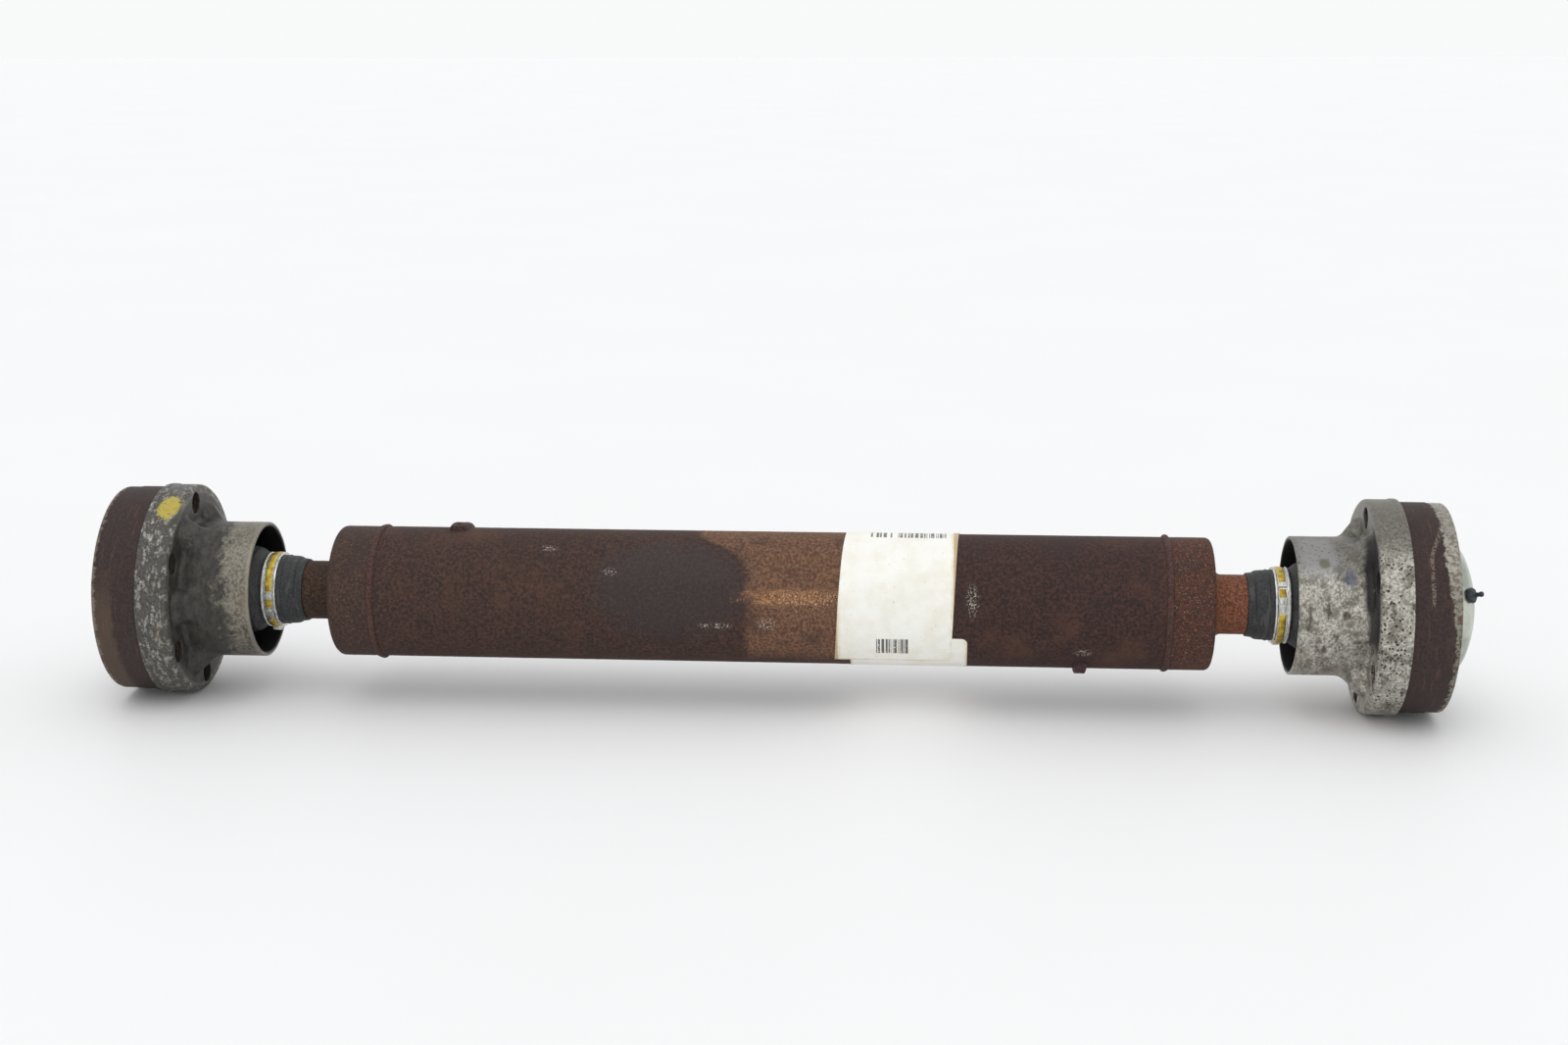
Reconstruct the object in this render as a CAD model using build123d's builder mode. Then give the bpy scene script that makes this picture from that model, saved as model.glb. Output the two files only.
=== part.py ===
from build123d import *
import os
from math import atan2, cos, degrees, radians, sin, sqrt

# Propeller shaft with a plunging ball joint and a six-bolt flange at each end.
# X runs along the shaft, Z is up, and the origin is on the axis at mid-length.
# Both ends are alike, so each end's pieces are made for side -1 (left) and +1 (right).
# Sizes are in millimetres. A name ending in _X is a distance from mid-length along X.

# Tube
TUBE_R = 31.75
TUBE_WALL = 2.4
WELD_X = 189.5
WELD_ROOT = 1.2
WELD_TOP = 3.2
WELD_HEIGHT = 1.2

# Forged stub shaft
SPIGOT_X = 178.0
SPIGOT_GAP = 0.03
SHOULDER_X = 210.6
SHOULDER_ROUND = 3.0
NECK_X = 212.4
NECK_R = 14.25
NECK_FILLET = 4.0
JOURNAL_X = 260.0
JOURNAL_R = 13.5
SPLINE_R = 12.8
SPLINE_TEETH = 22
SPLINE_DEPTH = 0.9
SPLINE_WIDTH = 1.6
SPLINE_GAP = 0.1
STUB_END_X = 315.5
CHAMFER = 0.8

# Ball joint
JOINT_X = 300.5
BALLS = 6
STEP = 360 / BALLS
HALF_STEP = STEP / 2
BALL_R = 10.0
BALL_CIRCLE_R = 28.0
TRACK_R = 10.2
INNER_RACE_R = 24.3
INNER_RACE_HALF = 12.0
CAGE_OUT_R = 32.5
CAGE_IN_R = 24.5
CAGE_HALF = 13.0
WINDOW_LENGTH = 20.1
WINDOW_WIDTH = 21.5
WINDOW_ROUND = 5.0
CIRCLIP_WIDTH = 1.4
CIRCLIP_OUT_R = 15.2
CIRCLIP_IN_R = 11.9
CIRCLIP_OPENING = 7.0

# Outer race and its bolt circle
RACE_R = 50.0
RACE_IN_X = 284.6
RACE_OUT_X = 318.7
RACE_BORE_R = 32.7
PILOT_R = 49.7
PILOT_X = 311.0
BOLT_CIRCLE_R = 43.0
BOLT_HOLE_R = 5.25
CAP_SEAT_R = 39.0
CAP_SEAT_DEPTH = 1.2

# End cap and its vent plug
CAP_SHEET = 1.1
CAP_DOME_R = 32.0
CAP_DOME_HEIGHT = 15.0
CAP_CROWN_R = 62.0
CAP_CORNER_R = 10.0
VENT_ANGLES = {-1: 27.0, 1: 153.0}
VENT_TILT = 40.0
VENT_HOLE_R = 1.25
VENT_STEM_R = 1.2
VENT_HEAD_R = 3.75
VENT_HEAD_HEIGHT = 2.0
VENT_STEM_LENGTH = 4.0
VENT_LIFT = 0.3
VENT_NIPPLE_R = 1.3
VENT_NIPPLE_TOP = 6.5

# Pressed steel boot can
CAN_SHEET = 2.0
SKIRT_R = 51.2
SKIRT_SHEET = 1.15
SKIRT_EDGE_X = 297.0
SKIRT_LIP_R = 51.6
SKIRT_LIP_LENGTH = 2.4
CAN_FACE_X = 282.1
CAN_NECK_R = 33.05
CAN_RIM_X = 248.1
CAN_CORNER = 4.0
LOBE_ROOT_R = 29.0
LOBE_TIP_R = 42.6
LOBE_ROOT_HEIGHT = 11.0
LOBE_TIP_HEIGHT = 2.2
LOBE_ROOT_HALF = 12.0
LOBE_TIP_HALF = 9.0
LOBE_LEAN = 4.0
LOBE_ROUND = 2.0
LOBE_TIP_ROUND = 1.3
LOBE_BURY = 0.5
GASKET_IN_R = 36.0
GASKET_OUT_R = 49.6
GASKET_NOTCH_R = 14.0

# Rubber boot, in four rings, and its clamp
SLEEVE_START_X = 227.5
LIP_START_R = 15.2
LIP_END_X = 231.0
LIP_END_R = 15.6
STEP_X = 233.0
STEP_R = 16.5
CLAMP_SEAT_X = 239.7
CLAMP_END_X = 247.2
CLAMP_SEAT_R = 17.0
CREST_X = 251.0
CREST_R = 20.4
CREST_SLOPE = 1.5
SLEEVE_END_X = 256.0
CLAMP_BAND = 0.9
TONGUE_X = 241.5
TONGUE_END_X = 244.7
TONGUE_HEIGHT = 0.6
EAR_TOP_R = 20.2
EAR_LENGTH = 5.0
EAR_HOLE_R = 0.8
EAR_ANGLES = {-1: -105.0, 1: -80.0}
INNER_FOLD = (262.0, 268.0, 20.0, 23.0)
OUTER_FOLD = (273.0, 277.0, 20.0, 27.0)
BEAD = (268.0, 276.0, 28.5, 31.05)

# Balance weights and paper labels, by start, end, and first and last angle about the axis
WEIGHT_HEIGHT = 2.4
WEIGHT_GAP = 0.02
LEFT_WEIGHT = (-155.7, -147.4, 57.0, 96.0)
RIGHT_WEIGHT = (146.4, 152.5, -130.0, -90.0)
PAPER = 0.12
LOWER_LABEL = (40.0, 95.6, 200.0, 290.0)
UPPER_LABEL = (32.6, 90.0, 30.0, 230.0)


def save(piece, label):
    """Name a finished piece and write it to its own STEP file."""
    piece.part.label = label
    export_step(piece.part, f"parts/{label}.step")


def ring_outline(side, points):
    """Draw a closed outline of (distance from mid-length, radius) points on one side."""
    Polyline(*[(side * x, r) for x, r in points], close=True)


def outline_corner(sketch, side, x, r):
    """Return the corner of a sketch on Plane.XZ nearest to a point of its outline."""
    wanted = Vector(side * x, 0, r)
    return sketch.vertices().sort_by_distance(wanted)[0]


def radial_plane(side, x, angle, r=0.0):
    """Return a plane that faces outward at an angle about the axis, counted from +Y to +Z."""
    out = Vector(0, cos(radians(angle)), sin(radians(angle)))
    return Plane(origin=Vector(side * x, 0, 0) + out * r, x_dir=(1, 0, 0), z_dir=out)


def ring_section(side, x0, x1, r_in, r_out):
    """Return the section of a plain ring between two distances and two radii."""
    with BuildSketch(Plane.XZ) as section:
        with BuildLine():
            ring_outline(side, [(x0, r_in), (x0, r_out), (x1, r_out), (x1, r_in)])
        make_face()
    return section.sketch


def circles(side, x, circle_r, hole_r, start_angle=0.0):
    """Return six equal circles on a circle about the axis, in a plane across it."""
    with BuildSketch(Plane.YZ.offset(side * x)) as section:
        with PolarLocations(circle_r, BALLS, start_angle=start_angle):
            Circle(hole_r)
    return section.sketch


def make_tube():
    """Steel tube, bevelled at both ends for the welds."""
    inside = TUBE_R - TUBE_WALL
    root = WELD_X - WELD_ROOT / 2
    top = WELD_X - WELD_TOP / 2
    with BuildPart() as tube:
        with BuildSketch(Plane.XZ):
            with BuildLine():
                Polyline((-root, inside), (-top, TUBE_R), (top, TUBE_R), (root, inside), close=True)
            make_face()
        revolve(axis=Axis.X)
    save(tube, "tube")


def make_weld_bead(side, name):
    """Weld that fills the bevel between tube and stub shaft and stands a little proud."""
    inside = TUBE_R - TUBE_WALL
    root_half = WELD_ROOT / 2
    top_half = WELD_TOP / 2
    with BuildPart() as weld_bead:
        with BuildSketch(Plane.XZ):
            with BuildLine():
                Polyline(
                    (side * (WELD_X - top_half), TUBE_R),
                    (side * (WELD_X - root_half), inside),
                    (side * (WELD_X + root_half), inside),
                    (side * (WELD_X + top_half), TUBE_R),
                )
                ThreePointArc(
                    (side * (WELD_X + top_half), TUBE_R),
                    (side * WELD_X, TUBE_R + WELD_HEIGHT),
                    (side * (WELD_X - top_half), TUBE_R),
                )
            make_face()
        revolve(axis=Axis.X)
    save(weld_bead, f"{name}_weld_bead")


def make_stub_shaft(side, name):
    """Forged stub shaft: spigot, shoulder, neck, journal and splined end."""
    inside = TUBE_R - TUBE_WALL
    root = WELD_X + WELD_ROOT / 2
    top = WELD_X + WELD_TOP / 2
    race_start = JOINT_X - INNER_RACE_HALF
    groove = JOINT_X + INNER_RACE_HALF
    groove_end = groove + CIRCLIP_WIDTH
    outline = [
        (SPIGOT_X, 0),
        (SPIGOT_X, inside - SPIGOT_GAP - CHAMFER),
        (SPIGOT_X + CHAMFER, inside - SPIGOT_GAP),
        (root, inside - SPIGOT_GAP),
        (root, inside),
        (top, TUBE_R),
        (SHOULDER_X, TUBE_R),
        (NECK_X, NECK_R),
        (JOURNAL_X, NECK_R),
        (JOURNAL_X + CHAMFER, JOURNAL_R),
        (race_start, JOURNAL_R),
        (race_start, SPLINE_R),
        (groove, SPLINE_R),
        (groove, CIRCLIP_IN_R),
        (groove_end, CIRCLIP_IN_R),
        (groove_end, SPLINE_R),
        (STUB_END_X - CHAMFER, SPLINE_R),
        (STUB_END_X, SPLINE_R - CHAMFER),
        (STUB_END_X, 0),
    ]
    with BuildPart() as stub_shaft:
        with BuildSketch(Plane.XZ) as profile:
            with BuildLine():
                ring_outline(side, outline)
            make_face()
            fillet(outline_corner(profile.sketch, side, SHOULDER_X, TUBE_R), SHOULDER_ROUND)
            fillet(outline_corner(profile.sketch, side, NECK_X, NECK_R), NECK_FILLET)
        revolve(axis=Axis.X)
        with BuildSketch(Plane.YZ.offset(side * race_start)):
            with PolarLocations(SPLINE_R, SPLINE_TEETH):
                Rectangle(2 * SPLINE_DEPTH, SPLINE_WIDTH)
        extrude(amount=side * (STUB_END_X - race_start), mode=Mode.SUBTRACT)
    save(stub_shaft, f"{name}_stub_shaft")


def make_inner_race(side, name):
    """Inner race: a ball-shaped ring with six straight tracks and a splined bore."""
    edge_r = sqrt(INNER_RACE_R**2 - INNER_RACE_HALF**2)
    low = JOINT_X - INNER_RACE_HALF
    high = JOINT_X + INNER_RACE_HALF
    with BuildPart() as inner_race:
        with BuildSketch(Plane.XZ):
            with BuildLine():
                ThreePointArc((side * low, edge_r), (side * JOINT_X, INNER_RACE_R), (side * high, edge_r))
                Polyline(
                    (side * high, edge_r),
                    (side * high, SPLINE_R),
                    (side * low, SPLINE_R),
                    (side * low, edge_r),
                )
            make_face()
        revolve(axis=Axis.X)
        extrude(circles(side, low, BALL_CIRCLE_R, TRACK_R), side * 2 * INNER_RACE_HALF, mode=Mode.SUBTRACT)
        with BuildSketch(Plane.YZ.offset(side * low)):
            with PolarLocations(SPLINE_R, SPLINE_TEETH):
                Rectangle(2 * (SPLINE_DEPTH - SPLINE_GAP), SPLINE_WIDTH - 2 * SPLINE_GAP)
        extrude(amount=side * 2 * INNER_RACE_HALF)
    save(inner_race, f"{name}_inner_race")


def make_circlip(side, name):
    """Open ring in the stub shaft's groove that keeps the inner race on."""
    with BuildPart() as circlip:
        start = JOINT_X + INNER_RACE_HALF
        revolve(ring_section(side, start, start + CIRCLIP_WIDTH, CIRCLIP_IN_R, CIRCLIP_OUT_R), Axis.X)
        with BuildSketch(Plane.YZ.offset(side * start)):
            with Locations((0, CIRCLIP_OUT_R)):
                Rectangle(CIRCLIP_OPENING, CIRCLIP_OUT_R)
        extrude(amount=side * CIRCLIP_WIDTH, mode=Mode.SUBTRACT)
    save(circlip, f"{name}_circlip")


def make_cage(side, name):
    """Ball cage: a spherical ring with six windows."""
    out_edge = sqrt(CAGE_OUT_R**2 - CAGE_HALF**2)
    in_edge = sqrt(CAGE_IN_R**2 - CAGE_HALF**2)
    low = side * (JOINT_X - CAGE_HALF)
    high = side * (JOINT_X + CAGE_HALF)
    with BuildPart() as cage:
        with BuildSketch(Plane.XZ):
            with BuildLine():
                ThreePointArc((low, out_edge), (side * JOINT_X, CAGE_OUT_R), (high, out_edge))
                Line((high, out_edge), (high, in_edge))
                ThreePointArc((high, in_edge), (side * JOINT_X, CAGE_IN_R), (low, in_edge))
                Line((low, in_edge), (low, out_edge))
            make_face()
        revolve(axis=Axis.X)
        for step in range(BALLS):
            with BuildSketch(radial_plane(side, JOINT_X, step * STEP, CAGE_IN_R / 2)):
                RectangleRounded(WINDOW_LENGTH, WINDOW_WIDTH, WINDOW_ROUND)
            extrude(amount=CAGE_OUT_R, mode=Mode.SUBTRACT)
    save(cage, f"{name}_cage")


def make_balls(side, label, angles):
    """Bearing balls at the given angles on the ball circle."""
    places = [
        (side * JOINT_X, BALL_CIRCLE_R * cos(radians(angle)), BALL_CIRCLE_R * sin(radians(angle)))
        for angle in angles
    ]
    with BuildPart() as balls:
        with Locations(*places):
            Sphere(BALL_R)
    save(balls, label)


def make_outer_race(side, name):
    """Outer race: a thick ring with ball tracks, bolt holes, a machined pilot and a cap seat."""
    seat_x = RACE_OUT_X - CAP_SEAT_DEPTH
    outline = [
        (RACE_IN_X, RACE_BORE_R),
        (RACE_IN_X, RACE_R - CHAMFER),
        (RACE_IN_X + CHAMFER, RACE_R),
        (PILOT_X, RACE_R),
        (PILOT_X, PILOT_R),
        (RACE_OUT_X - CHAMFER, PILOT_R),
        (RACE_OUT_X, PILOT_R - CHAMFER),
        (RACE_OUT_X, CAP_SEAT_R),
        (seat_x, CAP_SEAT_R),
        (seat_x, RACE_BORE_R),
    ]
    depth = side * (RACE_OUT_X - RACE_IN_X)
    with BuildPart() as outer_race:
        with BuildSketch(Plane.XZ):
            with BuildLine():
                ring_outline(side, outline)
            make_face()
        revolve(axis=Axis.X)
        extrude(circles(side, RACE_IN_X, BALL_CIRCLE_R, TRACK_R), depth, mode=Mode.SUBTRACT)
        extrude(circles(side, RACE_IN_X, BOLT_CIRCLE_R, BOLT_HOLE_R, HALF_STEP), depth, mode=Mode.SUBTRACT)
    save(outer_race, f"{name}_outer_race")


def dome_centres():
    """Return where the dome's crown arc and corner arc are centred, along the axis and in radius."""
    crown_x = RACE_OUT_X + CAP_DOME_HEIGHT - CAP_CROWN_R
    corner_r = CAP_DOME_R - CAP_CORNER_R
    corner_x = crown_x + sqrt((CAP_CROWN_R - CAP_CORNER_R) ** 2 - corner_r**2)
    return crown_x, corner_x, corner_r


def arc_about(side, x, r, radius, angle0, angle1):
    """Draw an arc about a point of the outline, between two angles counted from the axis."""
    points = [
        (side * (x + radius * cos(radians(angle))), r + radius * sin(radians(angle)))
        for angle in (angle0, (angle0 + angle1) / 2, angle1)
    ]
    ThreePointArc(*points)
    return points[0], points[-1]


def dome_outline(side, sheet):
    """Draw half of the dome's outline, a sheet's thickness inside it, and return its two ends."""
    crown_x, corner_x, corner_r = dome_centres()
    tilt = degrees(atan2(corner_r, corner_x - crown_x))
    top, _ = arc_about(side, crown_x, 0, CAP_CROWN_R - sheet, 0, tilt)
    _, foot = arc_about(side, corner_x, corner_r, CAP_CORNER_R - sheet, tilt, 90)
    return top, foot


def vent_plane(side):
    """Return the plane that touches the cap's dome where the vent plug stands."""
    _, corner_x, corner_r = dome_centres()
    out = Vector(0, cos(radians(VENT_ANGLES[side])), sin(radians(VENT_ANGLES[side])))
    normal = Vector(side, 0, 0) * cos(radians(VENT_TILT)) + out * sin(radians(VENT_TILT))
    centre = Vector(side * corner_x, 0, 0) + out * corner_r
    return Plane(origin=centre + normal * CAP_CORNER_R, z_dir=normal)


def make_end_cap(side, name):
    """Domed sheet cap with a flat rim in the outer race's seat and a vent hole."""
    seat_x = side * (RACE_OUT_X - CAP_SEAT_DEPTH)
    rim_x = seat_x + side * CAP_SHEET
    inside_r = CAP_DOME_R - CAP_SHEET
    with BuildPart() as end_cap:
        with BuildSketch(Plane.XZ):
            with BuildLine():
                outer_top, outer_foot = dome_outline(side, 0)
                inner_top, inner_foot = dome_outline(side, CAP_SHEET)
                Polyline(
                    outer_foot,
                    (rim_x, CAP_DOME_R),
                    (rim_x, CAP_SEAT_R),
                    (seat_x, CAP_SEAT_R),
                    (seat_x, inside_r),
                    inner_foot,
                )
                Line(outer_top, inner_top)
            make_face()
        revolve(axis=Axis.X)
        with BuildSketch(vent_plane(side)):
            Circle(VENT_HOLE_R)
        extrude(amount=VENT_STEM_LENGTH, both=True, mode=Mode.SUBTRACT)
    save(end_cap, f"{name}_end_cap")


def make_vent_plug(side, name):
    """Rubber plug: a round head on the dome, a stem through the vent hole and a nipple outside."""
    touching = vent_plane(side).offset(VENT_LIFT)
    with BuildPart() as vent_plug:
        with BuildSketch(touching):
            Circle(VENT_HEAD_R)
        extrude(amount=VENT_HEAD_HEIGHT)
        fillet(vent_plug.faces().sort_by(Axis(touching.origin, touching.z_dir))[-1].edges(), CHAMFER)
        with BuildSketch(touching):
            Circle(VENT_NIPPLE_R)
        extrude(amount=VENT_NIPPLE_TOP)
        with BuildSketch(touching):
            Circle(VENT_STEM_R)
        extrude(amount=-VENT_STEM_LENGTH)
    save(vent_plug, f"{name}_vent_plug")


def lobe_section(side, r, angle, foot_x, top_x, half, rounding):
    """Return one cross-section of a lobe at a radius: a hump with sloping sides and a rounded top."""
    top_half = half - LOBE_LEAN
    with BuildSketch(radial_plane(side, 0, angle, r)) as section:
        with BuildLine():
            Polyline(
                (side * foot_x, half),
                (side * top_x, top_half),
                (side * top_x, -top_half),
                (side * foot_x, -half),
                close=True,
            )
        make_face()
        tops = section.vertices().sort_by(Axis.X)
        fillet(tops[:2] if side > 0 else tops[-2:], rounding)
    return section.sketch


def lobe_sections(side, angle, sheet):
    """Return a lobe's root and tip sections, drawn in by the sheet's thickness for its hollow."""
    face_x = CAN_FACE_X + sheet
    foot_x = CAN_FACE_X + CAN_SHEET - LOBE_BURY + sheet
    root_x = face_x - LOBE_ROOT_HEIGHT
    root_half = LOBE_ROOT_HALF - sheet
    tip_x = face_x - LOBE_TIP_HEIGHT
    tip_half = LOBE_TIP_HALF - sheet
    tip_r = LOBE_TIP_R - sheet
    return [
        lobe_section(side, LOBE_ROOT_R, angle, foot_x, root_x, root_half, LOBE_ROUND),
        lobe_section(side, tip_r, angle, foot_x, tip_x, tip_half, LOBE_TIP_ROUND),
    ]


def make_boot_can(side, name):
    """Pressed can: skirt over the outer race, bolt face, six hollow lobes and a neck."""
    neck_in = CAN_NECK_R - CAN_SHEET
    skirt_in = SKIRT_R - SKIRT_SHEET
    lip_x = SKIRT_EDGE_X - SKIRT_LIP_LENGTH
    back_x = CAN_FACE_X + CAN_SHEET
    outline = [
        (CAN_RIM_X, neck_in),
        (CAN_RIM_X, CAN_NECK_R),
        (CAN_FACE_X, CAN_NECK_R),
        (CAN_FACE_X, SKIRT_R),
        (lip_x - CHAMFER, SKIRT_R),
        (lip_x, SKIRT_LIP_R),
        (SKIRT_EDGE_X, SKIRT_LIP_R),
        (SKIRT_EDGE_X, skirt_in),
        (back_x, skirt_in),
        (back_x, neck_in),
    ]
    rounds = [
        (CAN_FACE_X, CAN_NECK_R, CAN_CORNER - CAN_SHEET),
        (back_x, neck_in, CAN_CORNER),
        (CAN_FACE_X, SKIRT_R, CAN_CORNER),
        (back_x, skirt_in, CAN_CORNER - CAN_SHEET),
    ]
    with BuildPart() as boot_can:
        with BuildSketch(Plane.XZ) as profile:
            with BuildLine():
                ring_outline(side, outline)
            make_face()
            for x, r, radius in rounds:
                fillet(outline_corner(profile.sketch, side, x, r), radius)
        revolve(axis=Axis.X)
        for step in range(BALLS):
            loft(lobe_sections(side, step * STEP, 0))
        for step in range(BALLS):
            loft(lobe_sections(side, step * STEP, CAN_SHEET), mode=Mode.SUBTRACT)
        with BuildSketch(Plane.YZ.offset(side * CAN_RIM_X)):
            Circle(neck_in)
        extrude(amount=side * (SKIRT_EDGE_X - CAN_RIM_X), mode=Mode.SUBTRACT)
        holes = circles(side, CAN_FACE_X - CAN_SHEET, BOLT_CIRCLE_R, BOLT_HOLE_R, HALF_STEP)
        extrude(holes, side * 3 * CAN_SHEET, mode=Mode.SUBTRACT)
    save(boot_can, f"{name}_boot_can")


def make_gasket(side, name):
    """Paper gasket between the can's bolt face and the outer race."""
    back_x = CAN_FACE_X + CAN_SHEET
    depth = side * (RACE_IN_X - back_x)
    with BuildPart() as gasket:
        revolve(ring_section(side, back_x, RACE_IN_X, GASKET_IN_R, GASKET_OUT_R), Axis.X)
        extrude(circles(side, back_x, BOLT_CIRCLE_R, BOLT_HOLE_R, HALF_STEP), depth, mode=Mode.SUBTRACT)
        extrude(circles(side, back_x, BALL_CIRCLE_R, GASKET_NOTCH_R), depth, mode=Mode.SUBTRACT)
    save(gasket, f"{name}_gasket")


def make_boot_sleeve(side, name):
    """Boot's small end: a lip and a clamp seat on the neck, then the first fold."""
    outline = [
        (SLEEVE_START_X, NECK_R),
        (SLEEVE_START_X, LIP_START_R),
        (LIP_END_X, LIP_END_R),
        (STEP_X, STEP_R),
        (CLAMP_SEAT_X, CLAMP_SEAT_R),
        (CLAMP_END_X, CLAMP_SEAT_R),
        (CREST_X, CREST_R),
        (SLEEVE_END_X - CREST_SLOPE, CREST_R),
        (SLEEVE_END_X, CREST_R - CREST_SLOPE),
        (SLEEVE_END_X, NECK_R),
    ]
    with BuildPart() as boot_sleeve:
        with BuildSketch(Plane.XZ):
            with BuildLine():
                ring_outline(side, outline)
            make_face()
        revolve(axis=Axis.X)
    save(boot_sleeve, f"{name}_boot_sleeve")


def make_boot_clamp(side, name):
    """Steel band round the sleeve with a raised tongue and a crimped ear."""
    band_r = CLAMP_SEAT_R + CLAMP_BAND
    with BuildPart() as boot_clamp:
        revolve(ring_section(side, CLAMP_SEAT_X, CLAMP_END_X, CLAMP_SEAT_R, band_r), Axis.X)
        revolve(ring_section(side, TONGUE_X, TONGUE_END_X, CLAMP_SEAT_R, band_r + TONGUE_HEIGHT), Axis.X)
        middle = (TONGUE_X + TONGUE_END_X) / 2
        ear = radial_plane(side, middle, EAR_ANGLES[side], band_r - TONGUE_HEIGHT)
        with BuildSketch(ear):
            RectangleRounded(TONGUE_END_X - TONGUE_X, EAR_LENGTH, CHAMFER)
        extrude(amount=EAR_TOP_R - band_r)
        with BuildSketch(ear):
            Circle(EAR_HOLE_R)
        extrude(amount=EAR_TOP_R, mode=Mode.SUBTRACT)
    save(boot_clamp, f"{name}_boot_clamp")


def make_boot_ring(side, label, size):
    """One plain ring of the rubber boot."""
    with BuildPart() as boot_ring:
        revolve(ring_section(side, *size), Axis.X)
    save(boot_ring, label)


def make_plate(label, place, r_in, thickness):
    """Weight or label that wraps part of the way round the tube."""
    x0, x1, angle0, angle1 = place
    out = Vector(0, cos(radians(angle0)), sin(radians(angle0)))
    start = Plane(origin=(0, 0, 0), x_dir=(1, 0, 0), z_dir=(0, -out.Z, out.Y))
    with BuildPart() as plate:
        with BuildSketch(start):
            with Locations(((x0 + x1) / 2, r_in + thickness / 2)):
                Rectangle(x1 - x0, thickness)
        revolve(axis=Axis.X, revolution_arc=angle1 - angle0)
    save(plate, label)


os.makedirs("parts", exist_ok=True)
make_tube()
make_plate("left_balance_weight", LEFT_WEIGHT, TUBE_R + WEIGHT_GAP, WEIGHT_HEIGHT)
make_plate("right_balance_weight", RIGHT_WEIGHT, TUBE_R + WEIGHT_GAP, WEIGHT_HEIGHT)
make_plate("lower_label", LOWER_LABEL, TUBE_R, PAPER)
make_plate("upper_label", UPPER_LABEL, TUBE_R + PAPER, PAPER)
for side, name in ((-1, "left"), (1, "right")):
    make_weld_bead(side, name)
    make_stub_shaft(side, name)
    make_inner_race(side, name)
    make_circlip(side, name)
    make_cage(side, name)
    make_balls(side, f"{name}_side_balls", (0, 180))
    make_balls(side, f"{name}_cage_balls", (60, 120, 240, 300))
    make_outer_race(side, name)
    make_end_cap(side, name)
    make_vent_plug(side, name)
    make_boot_can(side, name)
    make_gasket(side, name)
    make_boot_sleeve(side, name)
    make_boot_clamp(side, name)
    make_boot_ring(side, f"{name}_boot_inner_fold", INNER_FOLD)
    make_boot_ring(side, f"{name}_boot_outer_fold", OUTER_FOLD)
    make_boot_ring(side, f"{name}_boot_bead", BEAD)
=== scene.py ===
from functools import reduce
from math import acos, atan2, ceil, cos, degrees, pi, radians, sin, sqrt, tan

import bmesh
import bpy
import numpy as np
from mathutils import Matrix, Vector, noise


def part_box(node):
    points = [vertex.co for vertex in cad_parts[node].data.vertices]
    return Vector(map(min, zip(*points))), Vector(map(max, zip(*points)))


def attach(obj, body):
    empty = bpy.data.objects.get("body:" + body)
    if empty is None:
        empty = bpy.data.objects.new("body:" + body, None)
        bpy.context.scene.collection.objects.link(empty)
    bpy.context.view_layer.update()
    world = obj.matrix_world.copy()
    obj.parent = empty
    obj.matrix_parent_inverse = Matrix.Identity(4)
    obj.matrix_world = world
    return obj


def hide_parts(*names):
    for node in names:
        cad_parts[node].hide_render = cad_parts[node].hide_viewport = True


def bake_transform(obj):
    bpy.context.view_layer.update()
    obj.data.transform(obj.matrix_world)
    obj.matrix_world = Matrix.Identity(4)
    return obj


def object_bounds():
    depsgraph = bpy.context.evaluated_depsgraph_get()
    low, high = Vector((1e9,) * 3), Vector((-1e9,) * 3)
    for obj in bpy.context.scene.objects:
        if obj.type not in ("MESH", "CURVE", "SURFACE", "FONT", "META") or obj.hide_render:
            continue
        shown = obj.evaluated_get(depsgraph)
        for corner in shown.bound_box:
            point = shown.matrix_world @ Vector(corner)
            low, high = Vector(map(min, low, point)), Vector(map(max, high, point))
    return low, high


# The looks of a propeller shaft with a plunging ball joint at each end.
# Lengths here are millimetres, turned into metres when a mesh is made. X runs along the
# shaft. A place on the shaft is its distance from mid-length, its radius, and its angle
# about the axis, counted in degrees from the front (-Y) up towards the top (+Z).

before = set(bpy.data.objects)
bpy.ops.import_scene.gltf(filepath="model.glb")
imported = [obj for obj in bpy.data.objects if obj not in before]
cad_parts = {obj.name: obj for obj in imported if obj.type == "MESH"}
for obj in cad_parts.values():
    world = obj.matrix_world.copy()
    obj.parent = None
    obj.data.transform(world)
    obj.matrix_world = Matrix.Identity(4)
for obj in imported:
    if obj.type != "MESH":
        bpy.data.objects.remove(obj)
cad_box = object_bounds()

MM = 0.001
SIDES = {"left": -1, "right": 1}
LOBES = 6
LOBE_STEP = 360 / LOBES


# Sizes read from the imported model

def reach(node):
    """Return how far a right-end node starts and stops from mid-length, in millimetres."""
    low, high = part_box(node)
    return low.x / MM, high.x / MM


def radius_of(node):
    """Return a node's outer radius about the shaft's axis, in millimetres."""
    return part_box(node)[1].z / MM


TUBE_R = radius_of("tube")
MM_PER_DEGREE = radians(TUBE_R)
TUBE_HALF = reach("tube")[1]
TUBE_WALL = 2.4
WELD_X = sum(reach("right_weld_bead")) / 2
WELD_HALF = 1.6
STUB_START, STUB_STOP = reach("right_stub_shaft")
RACE_START, RACE_STOP = reach("right_outer_race")
RACE_R = radius_of("right_outer_race")
CAN_START, CAN_STOP = reach("right_boot_can")
CAP_START, CAP_STOP = reach("right_end_cap")
CAP_SEAT_R = radius_of("right_end_cap")
CLAMP_START, CLAMP_STOP = reach("right_boot_clamp")
SLEEVE_START = reach("right_boot_sleeve")[0]
JOINT_X = sum(reach("right_cage")) / 2
BOLT_CIRCLE_R = 43.0
BOLT_HOLE_R = 5.25
BALL_CIRCLE_R = 28.0
TRACK_R = 10.2


# Mesh making

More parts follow.
